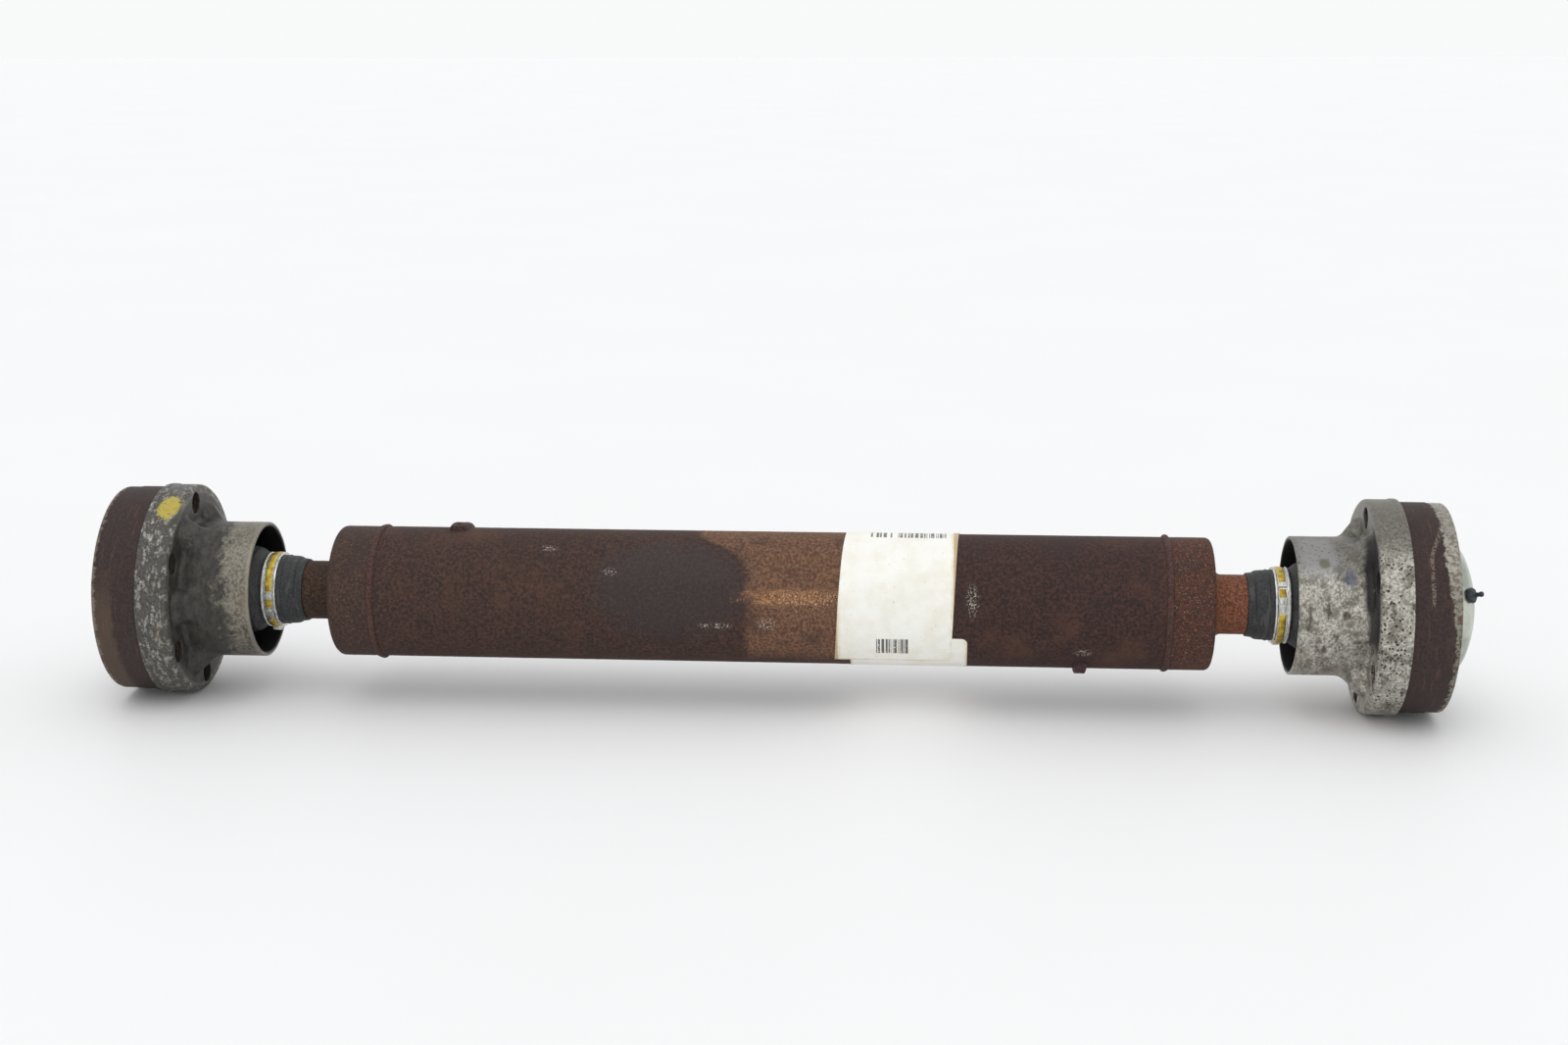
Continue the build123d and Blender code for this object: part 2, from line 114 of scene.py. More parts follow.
def rounded_corner(before, corner, after, radius, step):
    """Return the points of the arc that rounds one corner of an outline."""
    to_before = before - corner
    to_after = after - corner
    room = min(np.linalg.norm(to_before), np.linalg.norm(to_after)) * 0.49
    to_before = to_before / np.linalg.norm(to_before)
    to_after = to_after / np.linalg.norm(to_after)
    half = acos(max(-1.0, min(1.0, float(to_before @ to_after)))) / 2
    cut = min(radius / tan(half), room)
    radius = cut * tan(half)
    middle = to_before + to_after
    centre = corner + middle / np.linalg.norm(middle) * radius / sin(half)
    start = corner + to_before * cut - centre
    stop = corner + to_after * cut - centre
    turn = atan2(start[0] * stop[1] - start[1] * stop[0], float(start @ stop))
    count = max(3, ceil(abs(turn) * radius / step))
    points = []
    for k in range(count + 1):
        angle = turn * k / count
        x = start[0] * cos(angle) - start[1] * sin(angle)
        r = start[0] * sin(angle) + start[1] * cos(angle)
        points.append(centre + np.array([x, r]))
    return points


def outline(corners, step=1.5, arc_step=0.35, closed=True):
    """Return points along (distance, radius, rounding) corners, with no run longer than step."""
    places = [np.array(corner[:2], float) for corner in corners]
    last = len(places) - 1
    points = []
    for i, corner in enumerate(corners):
        rounding = corner[2] if len(corner) > 2 else 0
        if rounding and (closed or 0 < i < last):
            after = places[(i + 1) % len(places)]
            points += rounded_corner(places[i - 1], places[i], after, rounding, arc_step)
        else:
            points.append(places[i])
    ends = points[1:] + points[:1] if closed else points[1:]
    result = []
    for a, b in zip(points, ends):
        count = max(1, ceil(np.linalg.norm(b - a) / step))
        result += [a + (b - a) * k / count for k in range(count)]
    if not closed:
        result.append(points[-1])
    return np.array(result)


def resample(points, count):
    """Return count points spaced evenly along an open outline."""
    lengths = np.linalg.norm(np.diff(points, axis=0), axis=1)
    along = np.concatenate([[0], np.cumsum(lengths)])
    wanted = np.linspace(0, along[-1], count)
    return np.stack([np.interp(wanted, along, points[:, k]) for k in (0, 1)], axis=1)


def new_piece(name, points, faces):
    """Make a mesh object from points in metres, merged where they meet, with normals outward."""
    mesh = bpy.data.meshes.new(name)
    mesh.from_pydata(points, [], faces)
    shape = bmesh.new()
    shape.from_mesh(mesh)
    bmesh.ops.remove_doubles(shape, verts=shape.verts, dist=1e-7)
    bmesh.ops.dissolve_degenerate(shape, edges=shape.edges, dist=1e-7)
    bmesh.ops.recalc_face_normals(shape, faces=shape.faces)
    shape.to_mesh(mesh)
    shape.free()
    piece = bpy.data.objects.new(name, mesh)
    bpy.context.scene.collection.objects.link(piece)
    return piece


def grid_faces(rows, columns, close_rows, close_columns):
    """Return the quads of a grid of points, closed up on itself where asked."""
    index = np.arange(rows * columns).reshape(rows, columns)
    if close_rows:
        index = np.vstack([index, index[:1]])
    if close_columns:
        index = np.hstack([index, index[:, :1]])
    corners = (index[:-1, :-1], index[1:, :-1], index[1:, 1:], index[:-1, 1:])
    return np.stack(corners, axis=-1).reshape(-1, 4).tolist()


def place(side, x, r, angle):
    """Return points in metres from distances, radii and angles in degrees."""
    turn = np.radians(angle)
    points = np.stack([side * x, -r * np.cos(turn), r * np.sin(turn)], axis=-1)
    return (points * MM).reshape(-1, 3).tolist()


def turned(name, side, points, columns, closed=True, shape=None):
    """Turn an outline about the shaft's axis. shape may change distance and radius by angle."""
    angle = np.arange(columns) * 360 / columns
    x = np.repeat(points[:, :1], columns, axis=1)
    r = np.repeat(points[:, 1:], columns, axis=1)
    angle = np.repeat(angle[None, :], len(points), axis=0)
    if shape:
        x, r = shape(x, r, angle)
    return new_piece(name, place(side, x, r, angle), grid_faces(len(points), columns, closed, True))


def wrapped_plate(name, side, span, arc, inner_r, height, edge, columns, rows, shape=None):
    """Plate wrapped part of the way round the axis, with its edges rounded down to its underside."""
    across = np.linspace(0, 1, columns)
    around = np.linspace(0, 1, rows)
    u, v = np.meshgrid(across, around)
    x = span[0] + (span[1] - span[0]) * u
    angle = arc[0] + (arc[1] - arc[0]) * v
    width = abs(span[1] - span[0])
    length = abs(radians(arc[1] - arc[0])) * inner_r
    inset = np.minimum(np.minimum(u, 1 - u) * width, np.minimum(v, 1 - v) * length)
    near = np.clip(inset / edge, 0, 1)
    top = inner_r + height * np.sqrt(1 - (1 - near) ** 2)
    bottom = np.full_like(top, inner_r)
    if shape:
        x, angle, top, bottom = shape(x, angle, top, bottom, u, v)
    over = place(side, x, top, angle)
    under = place(side, x, bottom, angle)
    faces = grid_faces(rows, columns, False, False)
    count = rows * columns
    faces += [[count + i for i in reversed(face)] for face in faces]
    ring = [i for i in range(columns)]
    ring += [columns * (k + 1) - 1 for k in range(1, rows)]
    ring += [columns * rows - 1 - i for i in range(1, columns)]
    ring += [columns * (rows - 1 - k) for k in range(1, rows - 1)]
    faces += [[a, b, b + count, a + count] for a, b in zip(ring, ring[1:] + ring[:1])]
    return new_piece(name, over + under, faces)


def roughen(piece, grain, amount, octaves=3, seed=0):
    """Move each vertex along its normal by seeded noise: grain and amount in millimetres."""
    mesh = piece.data
    count = len(mesh.vertices)
    places = np.empty(count * 3, np.float32)
    normals = np.empty(count * 3, np.float32)
    mesh.vertices.foreach_get("co", places)
    mesh.vertex_normals.foreach_get("vector", normals)
    places = places.reshape(-1, 3)
    start = Vector((seed * 17.3, seed * 5.1, seed * 9.7))
    lifts = [noise.fractal(Vector(at) / (grain * MM) + start, 0.7, 2.0, octaves) for at in places.tolist()]
    moved = places + normals.reshape(-1, 3) * np.array(lifts, np.float32)[:, None] * (amount * MM)
    mesh.vertices.foreach_set("co", moved.ravel())
    mesh.update()


def rod(name, side, start, stop, y, z, radius, flare=0.0, columns=64):
    """Round cutter along X, wider by flare at both ends."""
    points = outline(
        [(start - 3, 0), (start - 3, radius + flare), (start, radius + flare), (start + flare, radius),
         (stop - flare, radius), (stop, radius + flare), (stop + 3, radius + flare), (stop + 3, 0)],
        step=50, closed=False,
    )
    piece = turned(name, side, points, columns, closed=False)
    piece.data.transform(Matrix.Translation((0, y * MM, z * MM)))
    return piece


def bolt_places():
    """Return the y and z of the six bolt holes, which lie halfway between the lobes."""
    turns = [radians(LOBE_STEP * (k + 0.5)) for k in range(LOBES)]
    return [(-BOLT_CIRCLE_R * cos(turn), BOLT_CIRCLE_R * sin(turn)) for turn in turns]


def cut(piece, cutters):
    """Cut the cutters out of a piece and remove them."""
    for cutter in cutters:
        modifier = piece.modifiers.new("cut", "BOOLEAN")
        modifier.operation = "DIFFERENCE"
        modifier.solver = "MANIFOLD"
        modifier.object = cutter
    bpy.context.view_layer.update()
    shaped = piece.evaluated_get(bpy.context.evaluated_depsgraph_get())
    mesh = bpy.data.meshes.new_from_object(shaped)
    piece.modifiers.clear()
    piece.data = mesh
    for cutter in cutters:
        bpy.data.objects.remove(cutter)
    return piece


def joined(name, pieces):
    """Join pieces that don't overlap into one mesh."""
    shape = bmesh.new()
    for piece in pieces:
        shape.from_mesh(piece.data)
        bpy.data.objects.remove(piece)
    mesh = bpy.data.meshes.new(name)
    shape.to_mesh(mesh)
    shape.free()
    piece = bpy.data.objects.new(name, mesh)
    bpy.context.scene.collection.objects.link(piece)
    return piece


def dress(piece, material, sharp=32):
    """Give a piece its material, smooth but for edges sharper than the given angle."""
    piece.data.shade_smooth()
    piece.data.set_sharp_from_angle(angle=radians(sharp))
    piece.data.materials.clear()
    piece.data.materials.append(material)
    return piece


def smoothstep(low, high, value):
    """Return 0 below low and 1 above high, with a smooth turn between."""
    t = np.clip((value - low) / (high - low), 0, 1)
    return t * t * (3 - 2 * t)


# Materials

def paint(red, green, blue):
    """Return a colour given in 0 to 255 steps as linear light."""
    steps = [value / 255 for value in (red, green, blue)]
    return [s / 12.92 if s <= 0.04045 else ((s + 0.055) / 1.055) ** 2.4 for s in steps] + [1.0]


class Finish:
    """A node material that varies by place on the object, in millimetres.

    Its angle and radius are about the shaft's axis, and its end is the distance from mid-length.
    Its colour is built up in coats. Colours are given in 0 to 255 steps.
    """

    def __init__(self, name, specular=0.5, ior=1.45):
        self.material = bpy.data.materials.new(name)
        self.material.use_nodes = True
        self.tree = self.material.node_tree
        self.tree.nodes.clear()
        self.shader = self.add("ShaderNodeBsdfPrincipled")
        self.shader.inputs["Specular IOR Level"].default_value = specular
        self.shader.inputs["IOR"].default_value = ior
        self.tree.links.new(self.shader.outputs[0], self.add("ShaderNodeOutputMaterial").inputs[0])
        place_node = self.add("ShaderNodeTexCoord")
        scale = self.add("ShaderNodeVectorMath", operation="SCALE")
        self.feed(scale.inputs[0], place_node.outputs["Object"])
        self.feed(scale.inputs["Scale"], 1 / MM)
        self.place = scale.outputs[0]
        split = self.add("ShaderNodeSeparateXYZ")
        self.feed(split.inputs[0], self.place)
        self.x, self.y, self.z = split.outputs
        turn = self.math("ARCTAN2", self.z, self.times(self.y, -1.0))
        self.angle = self.math("DEGREES", turn)
        squares = self.plus(self.math("POWER", self.y, 2.0), self.math("POWER", self.z, 2.0))
        self.radius = self.math("SQRT", squares)
        self.end = self.math("ABSOLUTE", self.x)
        self.colour = (128, 128, 128)

    def add(self, kind, **settings):
        """Add a node and set its properties."""
        node = self.tree.nodes.new(kind)
        for name, value in settings.items():
            setattr(node, name, value)
        return node

    def feed(self, socket, value):
        """Link a socket to another, or set its number or colour."""
        if isinstance(value, bpy.types.NodeSocket):
            self.tree.links.new(value, socket)
        elif socket.type == "RGBA":
            socket.default_value = paint(*value)
        else:
            socket.default_value = value

    def math(self, operation, a, b=0.0, c=0.0):
        """Add a math node."""
        node = self.add("ShaderNodeMath", operation=operation)
        for socket, value in zip(node.inputs, (a, b, c)):
            self.feed(socket, value)
        return node.outputs[0]

    def remap(self, value, low, high, start=0.0, stop=1.0):
        """Map a value's range smoothly to another, held at both ends."""
        node = self.add("ShaderNodeMapRange", interpolation_type="SMOOTHSTEP")
        for socket, number in zip(node.inputs, (value, low, high, start, stop)):
            self.feed(socket, number)
        return node.outputs[0]

    def stretched(self, grain, along, around):
        """Return the place scaled so that noise features are grain millimetres across."""
        node = self.add("ShaderNodeVectorMath", operation="MULTIPLY")
        self.feed(node.inputs[0], self.place)
        self.feed(node.inputs[1], (1 / (grain * along), 1 / (grain * around), 1 / (grain * around)))
        return node.outputs[0]

    def noise(self, grain, detail=4.0, rough=0.55, along=1.0, around=1.0, warp=0.0):
        """Cloudy noise from 0 to 1, drawn out along or around the axis where asked."""
        node = self.add("ShaderNodeTexNoise")
        self.feed(node.inputs["Vector"], self.stretched(grain, along, around))
        self.feed(node.inputs["Scale"], 1.0)
        self.feed(node.inputs["Detail"], detail)
        self.feed(node.inputs["Roughness"], rough)
        self.feed(node.inputs["Distortion"], warp)
        return node.outputs[0]

    def cells(self, grain):
        """Distance to the nearest of many scattered points, about 0 to 1."""
        node = self.add("ShaderNodeTexVoronoi")
        self.feed(node.inputs["Vector"], self.stretched(grain, 1.0, 1.0))
        self.feed(node.inputs["Scale"], 1.0)
        return node.outputs["Distance"]

    def mix(self, share, a, b):
        """Mix two colours."""
        node = self.add("ShaderNodeMix", data_type="RGBA")
        self.feed(node.inputs[0], share)
        self.feed(node.inputs[6], a)
        self.feed(node.inputs[7], b)
        return node.outputs[2]

    def blend(self, share, a, b):
        """Mix two numbers."""
        node = self.add("ShaderNodeMix", data_type="FLOAT")
        self.feed(node.inputs[0], share)
        self.feed(node.inputs[2], a)
        self.feed(node.inputs[3], b)
        return node.outputs[0]

    def times(self, a, b):
        """Product of two numbers. Of two shares, it is high only where both are."""
        return self.math("MULTIPLY", a, b)

    def plus(self, a, b):
        """Sum of two numbers."""
        return self.math("ADD", a, b)

    def minus(self, a, b):
        """Difference of two numbers."""
        return self.math("SUBTRACT", a, b)

    def most(self, *values):
        """Greatest of some numbers."""
        return reduce(lambda a, b: self.math("MAXIMUM", a, b), values)

    def least(self, *values):
        """Smallest of some numbers."""
        return reduce(lambda a, b: self.math("MINIMUM", a, b), values)

    def coat(self, tint, share, amount=1.0):
        """Lay a tint over the colour so far by a share, and by no more than an amount."""
        if amount != 1.0:
            share = self.times(share, amount)
        self.colour = self.mix(share, self.colour, tint)

    def tones(self, value, dark, light, low=0.35, high=0.65):
        """Run from a dark colour to a light one as a noise value goes from low to high."""
        return self.mix(self.remap(value, low, high), dark, light)

    def band(self, value, low, high, soft):
        """Return 1 between low and high, 0 outside, with soft edges."""
        rise = self.remap(value, low - soft, low + soft)
        fall = self.remap(value, high - soft, high + soft, 1.0, 0.0)
        return self.times(rise, fall)

    def spot(self, x, angle, half_length, half_angle, soft=0.25, ragged=0.0, grain=4.0):
        """Return a soft-edged oval patch centred at a place on the surface."""
        dx = self.math("DIVIDE", self.minus(self.x, x), half_length)
        da = self.math("DIVIDE", self.minus(self.angle, angle), half_angle)
        far = self.math("SQRT", self.plus(self.math("POWER", self.math("ABSOLUTE", dx), 2.0),
                                          self.math("POWER", self.math("ABSOLUTE", da), 2.0)))
        if ragged:
            wander = self.times(self.minus(self.noise(grain), 0.5), 2 * ragged)
            far = self.plus(far, wander)
        return self.remap(far, 1 - soft, 1 + soft, 1.0, 0.0)

    def finish(self, roughness, metallic=0.0, height=None, relief=0.1, strength=1.0):
        """Connect the looks to the shader, with a height in millimetres of relief."""
        self.feed(self.shader.inputs["Base Color"], self.colour)
        self.feed(self.shader.inputs["Roughness"], roughness)
        self.feed(self.shader.inputs["Metallic"], metallic)
        if height is not None:
            bump = self.add("ShaderNodeBump")
            bump.inputs["Strength"].default_value = strength
            bump.inputs["Distance"].default_value = relief * MM
            self.feed(bump.inputs["Height"], height)
            self.feed(self.shader.inputs["Normal"], bump.outputs[0])
        return self.material


def rusty_tube():
    """Brown surface rust with a dark worn oval, an orange zone and a few pale scuffs."""
    f = Finish("tube_rust", specular=0.3)
    grain = f.noise(1.5, detail=7, rough=0.72)
    fleck = f.noise(0.7, detail=3, rough=0.6)
    cloud = f.noise(26, detail=5, rough=0.6)
    share = f.remap(grain, 0.4, 0.62)
    left = f.mix(share, (46, 35, 32), (82, 59, 51))
    orange = f.mix(share, (82, 58, 46), (130, 96, 73))
    right = f.mix(share, (43, 31, 29), (76, 53, 48))
    shoulder = f.mix(share, (58, 42, 37), (100, 68, 57))
    edge = f.minus(-9.0, f.remap(f.angle, 40.0, 85.0, 0.0, 24.0))
    wander = f.times(f.minus(f.noise(7, detail=5), 0.5), 9.0)
    place_x = f.plus(f.x, wander)
    past_edge = f.remap(f.minus(place_x, edge), -2.5, 2.5)
    front = f.band(f.angle, -48.0, 138.0, 16.0)
    f.colour = f.mix(f.times(past_edge, front), left, orange)
    f.coat(right, f.remap(place_x, 32.0, 60.0))
    f.coat(shoulder, f.remap(place_x, 182.0, 196.0))
    f.coat((94, 64, 50), f.remap(cloud, 0.52, 0.75, 0.0, 0.45))
    f.coat((54, 42, 42), f.remap(cloud, 0.46, 0.3, 0.0, 0.5))
    oval = f.spot(-46.0, 22.0, 35.0, 44.0, soft=0.3, ragged=0.35, grain=9.0)
    f.coat((52, 46, 46), oval, 0.62)
    streak = f.spot(13.0, 15.0, 22.0, 6.5, soft=0.4, ragged=1.2, grain=3.0)
    f.coat((170, 124, 84), f.times(streak, f.remap(fleck, 0.42, 0.6)))
    pale = f.times(f.spot(19.0, 12.0, 18.0, 8.0, soft=0.6, ragged=0.5), f.remap(fleck, 0.6, 0.66))
    scuffs = ((-23.0, -11.0, 7.0, 2.6), (1.0, -9.0, 4.0, 5.0), (97.5, 14.0, 2.6, 13.0),
              (-74.0, 35.0, 3.0, 3.0), (-104.0, 58.0, 4.0, 3.0), (150.0, -34.0, 4.0, 4.0))
    for x, angle, long, high in scuffs:
        mark = f.spot(x, angle, long, high, soft=0.5, ragged=0.4, grain=1.6)
        pale = f.most(pale, f.times(mark, f.remap(fleck, 0.54, 0.62)))
    f.coat((205, 196, 184), pale, 0.8)
    bright = f.times(f.remap(fleck, 0.62, 0.7), f.remap(grain, 0.5, 0.6))
    f.coat((150, 98, 70), bright, 0.35)
    pit = f.remap(fleck, 0.34, 0.28)
    f.coat((34, 27, 28), pit, 0.6)
    inside = f.remap(f.radius, TUBE_R - 1.2, TUBE_R - 0.8, 1.0, 0.0)
    f.coat((70, 44, 34), inside)
    roughness = f.blend(oval, f.remap(grain, 0.3, 0.7, 0.66, 0.86), 0.5)
    height = f.plus(grain, f.times(fleck, 0.6))
    return f.finish(roughness, height=height, relief=0.22, strength=0.8)


def weld_metal():
    """Rusted weld in mottled browns."""
    f = Finish("weld_rust", specular=0.35)
    grain = f.noise(0.9, detail=5, rough=0.65)
    cloud = f.noise(12, detail=3)
    f.colour = f.tones(grain, (46, 33, 32), (92, 60, 52), 0.4, 0.62)
    f.coat((84, 60, 50), f.remap(cloud, 0.5, 0.7, 0.0, 0.5))
    return f.finish(f.remap(grain, 0.3, 0.7, 0.5, 0.8), height=grain, relief=0.15)


def weight_steel():
    """Rusted sheet of a balance weight, with orange-brown patches."""
    f = Finish("weight_rust", specular=0.35)
    grain = f.noise(1.0, detail=5, rough=0.65)
    f.colour = f.tones(grain, (40, 30, 30), (80, 55, 50), 0.4, 0.6)
    f.coat((120, 72, 48), f.remap(f.noise(4.0), 0.55, 0.7, 0.0, 0.7))
    return f.finish(f.remap(grain, 0.3, 0.7, 0.55, 0.8), height=grain, relief=0.15)


def forged_stub(name, side):
    """Forging rust: the shoulder like the tube, the neck brown on the left and orange on the right."""
    f = Finish(f"{name}_forging_rust", specular=0.3)
    grain = f.noise(1.3, detail=6, rough=0.7)
    fleck = f.noise(0.6, detail=3, rough=0.6)
    cloud = f.noise(16, detail=4)
    share = f.remap(grain, 0.4, 0.62)
    if side > 0:
        shoulder = f.mix(share, (56, 38, 33), (92, 58, 46))
        neck = f.mix(share, (90, 54, 39), (140, 88, 64))
        fleck_colour = (198, 150, 116)
    else:
        shoulder = f.mix(share, (50, 38, 34), (82, 62, 54))
        neck = f.mix(share, (36, 28, 24), (80, 58, 46))
        fleck_colour = (136, 98, 68)
    f.colour = f.mix(f.remap(cloud, 0.5, 0.32, 0.0, 0.55), shoulder, (52, 42, 44))
    f.coat(neck, f.remap(f.radius, 19.0, 15.5))
    f.coat(fleck_colour, f.remap(fleck, 0.62, 0.68), 0.8)
    f.coat((36, 27, 26), f.remap(fleck, 0.36, 0.3), 0.7)
    worked = f.remap(f.end, JOINT_X - 42.0, JOINT_X - 38.0)
    greased = f.mix(f.noise(3.0), (34, 30, 26), (86, 80, 68))
    f.coat(greased, worked)
    roughness = f.blend(worked, f.remap(grain, 0.3, 0.7, 0.62, 0.86), 0.35)
    height = f.plus(grain, f.times(fleck, 0.5))
    return f.finish(roughness, f.times(worked, 0.6), height, relief=0.2, strength=0.8)


def race_rust(name, side):
    """Maroon-brown rust with streaks round the ring, and a machined rim rubbed bare on the right."""
    f = Finish(f"{name}_race_rust", specular=0.35)
    grain = f.noise(1.2, detail=6, rough=0.68)
    streak = f.noise(3.0, detail=5, rough=0.65, along=0.5, around=5.0)
    cloud = f.noise(20, detail=4)
    base = f.tones(grain, (41, 32, 30), (66, 51, 47), 0.38, 0.62)
    f.colour = f.mix(f.remap(streak, 0.56, 0.7, 0.0, 0.6), base, (98, 70, 57))
    f.coat((44, 36, 38), f.remap(streak, 0.42, 0.3, 0.0, 0.6))
    f.coat((76, 63, 56), f.remap(cloud, 0.55, 0.72, 0.0, 0.4))
    height = f.plus(grain, f.times(streak, 0.8))
    wander = f.times(f.minus(f.noise(3.2, detail=6, rough=0.7), 0.5), 8.0)
    ragged = f.plus(f.end, wander)
    if side > 0:
        low = f.remap(f.angle, 40.0, -10.0)
        narrowed = f.minus(ragged, f.times(low, 4.4))
        bare = f.remap(narrowed, RACE_STOP - 7.2, RACE_STOP - 6.2)
        silver = f.mix(f.noise(2.0, detail=5), (120, 119, 111), (182, 179, 168))
        silver = f.mix(f.times(low, 0.6), silver, (112, 116, 104))
        rust_spots = f.remap(f.noise(2.2, detail=5, rough=0.7), 0.48, 0.55)
        silver = f.mix(f.times(rust_spots, f.blend(low, 0.6, 1.0)), silver, (84, 60, 48))
        f.coat(silver, bare)
        metallic = f.times(bare, f.minus(0.9, f.times(rust_spots, 0.7)))
        f.coat((150, 132, 118), chalk_hook(f), 0.5)
    else:
        strip = f.times(f.remap(ragged, RACE_STOP - 11.0, RACE_STOP - 8.5), f.remap(f.angle, 30.0, -5.0))
        f.coat((102, 84, 70), strip, 0.4)
        bare = f.remap(ragged, RACE_STOP - 1.8, RACE_STOP - 0.8)
        f.coat((132, 124, 112), bare, 0.6)
        metallic = f.times(bare, 0.4)
    bore = f.remap(f.radius, 39.6, 39.2)
    greased = f.mix(f.noise(4.0), (30, 26, 22), (78, 70, 58))
    f.coat(greased, bore)
    roughness = f.blend(bare, f.remap(grain, 0.3, 0.7, 0.55, 0.8), 0.38)
    return f.finish(roughness, metallic, height, relief=0.18, strength=0.75)


def chalk_hook(f):
    """Return the share of a hand-drawn chalk stroke: a steep line that hooks over at its top."""
    middle = JOINT_X + 5.0
    bend = f.times(f.remap(f.angle, 40.0, 62.0), 5.5)
    line = f.math("ABSOLUTE", f.minus(f.minus(f.x, middle), bend))
    stroke = f.times(f.remap(line, 1.3, 0.5), f.band(f.angle, 16.0, 60.0, 3.0))
    return f.times(stroke, f.remap(f.noise(0.9, detail=3), 0.42, 0.55))


def greasy_can():
    """Left can: zinc gone grey, black grease on the lobes, mottled skirt and a dab of yellow paint."""
    f = Finish("left_can_zinc", specular=0.5)
    fine = f.noise(1.4, detail=6, rough=0.7)
    blotch = f.noise(5.5, detail=6, rough=0.66, along=1.0, around=1.3)
    mottle = f.noise(3.4, detail=6, rough=0.7, along=0.8, around=1.6)
    cloud = f.noise(18, detail=4)
    silver = f.tones(fine, (92, 90, 84), (168, 165, 156))
    glint = f.remap(f.noise(0.9, detail=3, rough=0.6), 0.6, 0.66)
    silver = f.mix(f.times(glint, 0.8), silver, (222, 219, 210))
    olive = f.tones(fine, (92, 88, 78), (146, 141, 128))
    on_skirt = f.remap(f.radius, 46.0, 49.0)
    f.colour = f.mix(on_skirt, olive, silver)
    f.coat((122, 100, 76), f.remap(cloud, 0.55, 0.72, 0.0, 0.5))
    skirt_dirt = f.times(on_skirt, f.remap(mottle, 0.41, 0.51))
    by_lobes = f.times(f.remap(f.end, 256.0, 270.0), f.minus(1.0, on_skirt))
    low = f.remap(f.angle, 40.0, -25.0)
    pull = f.plus(f.times(by_lobes, 0.34), f.times(low, 0.1))
    neck_dirt = f.times(f.remap(f.plus(blotch, pull), 0.58, 0.76), f.minus(1.0, on_skirt))
    grease = f.most(f.times(skirt_dirt, 0.85), f.times(neck_dirt, 0.92))
    black = f.tones(mottle, (26, 26, 27), (58, 56, 51), 0.38, 0.62)
    f.coat(black, grease)
    rim = f.remap(f.end, CAN_START + 2.2, CAN_START + 0.8)
    f.coat((150, 146, 132), rim, 0.5)
    paint_dab = f.times(f.spot(-287.6, 64.0, 5.0, 9.5, soft=0.16, ragged=0.4, grain=2.0),
                        f.remap(f.radius, 49.5, 50.5))
    dab_share = f.times(paint_dab, f.remap(f.noise(1.2, detail=4), 0.3, 0.42))
    f.coat(f.mix(fine, (150, 132, 44), (206, 188, 86)), dab_share)
    inside = f.remap(f.radius, 32.2, 31.6)
    f.coat((22, 21, 21), inside)
    covered = f.most(grease, dab_share, inside)
    metallic = f.remap(covered, 0.0, 1.0, 0.75, 0.12)
    roughness = f.blend(covered, f.remap(fine, 0.3, 0.7, 0.34, 0.56), 0.5)
    height = f.plus(fine, f.times(grease, 0.8))
    return f.finish(roughness, metallic, height, relief=0.12, strength=0.7)


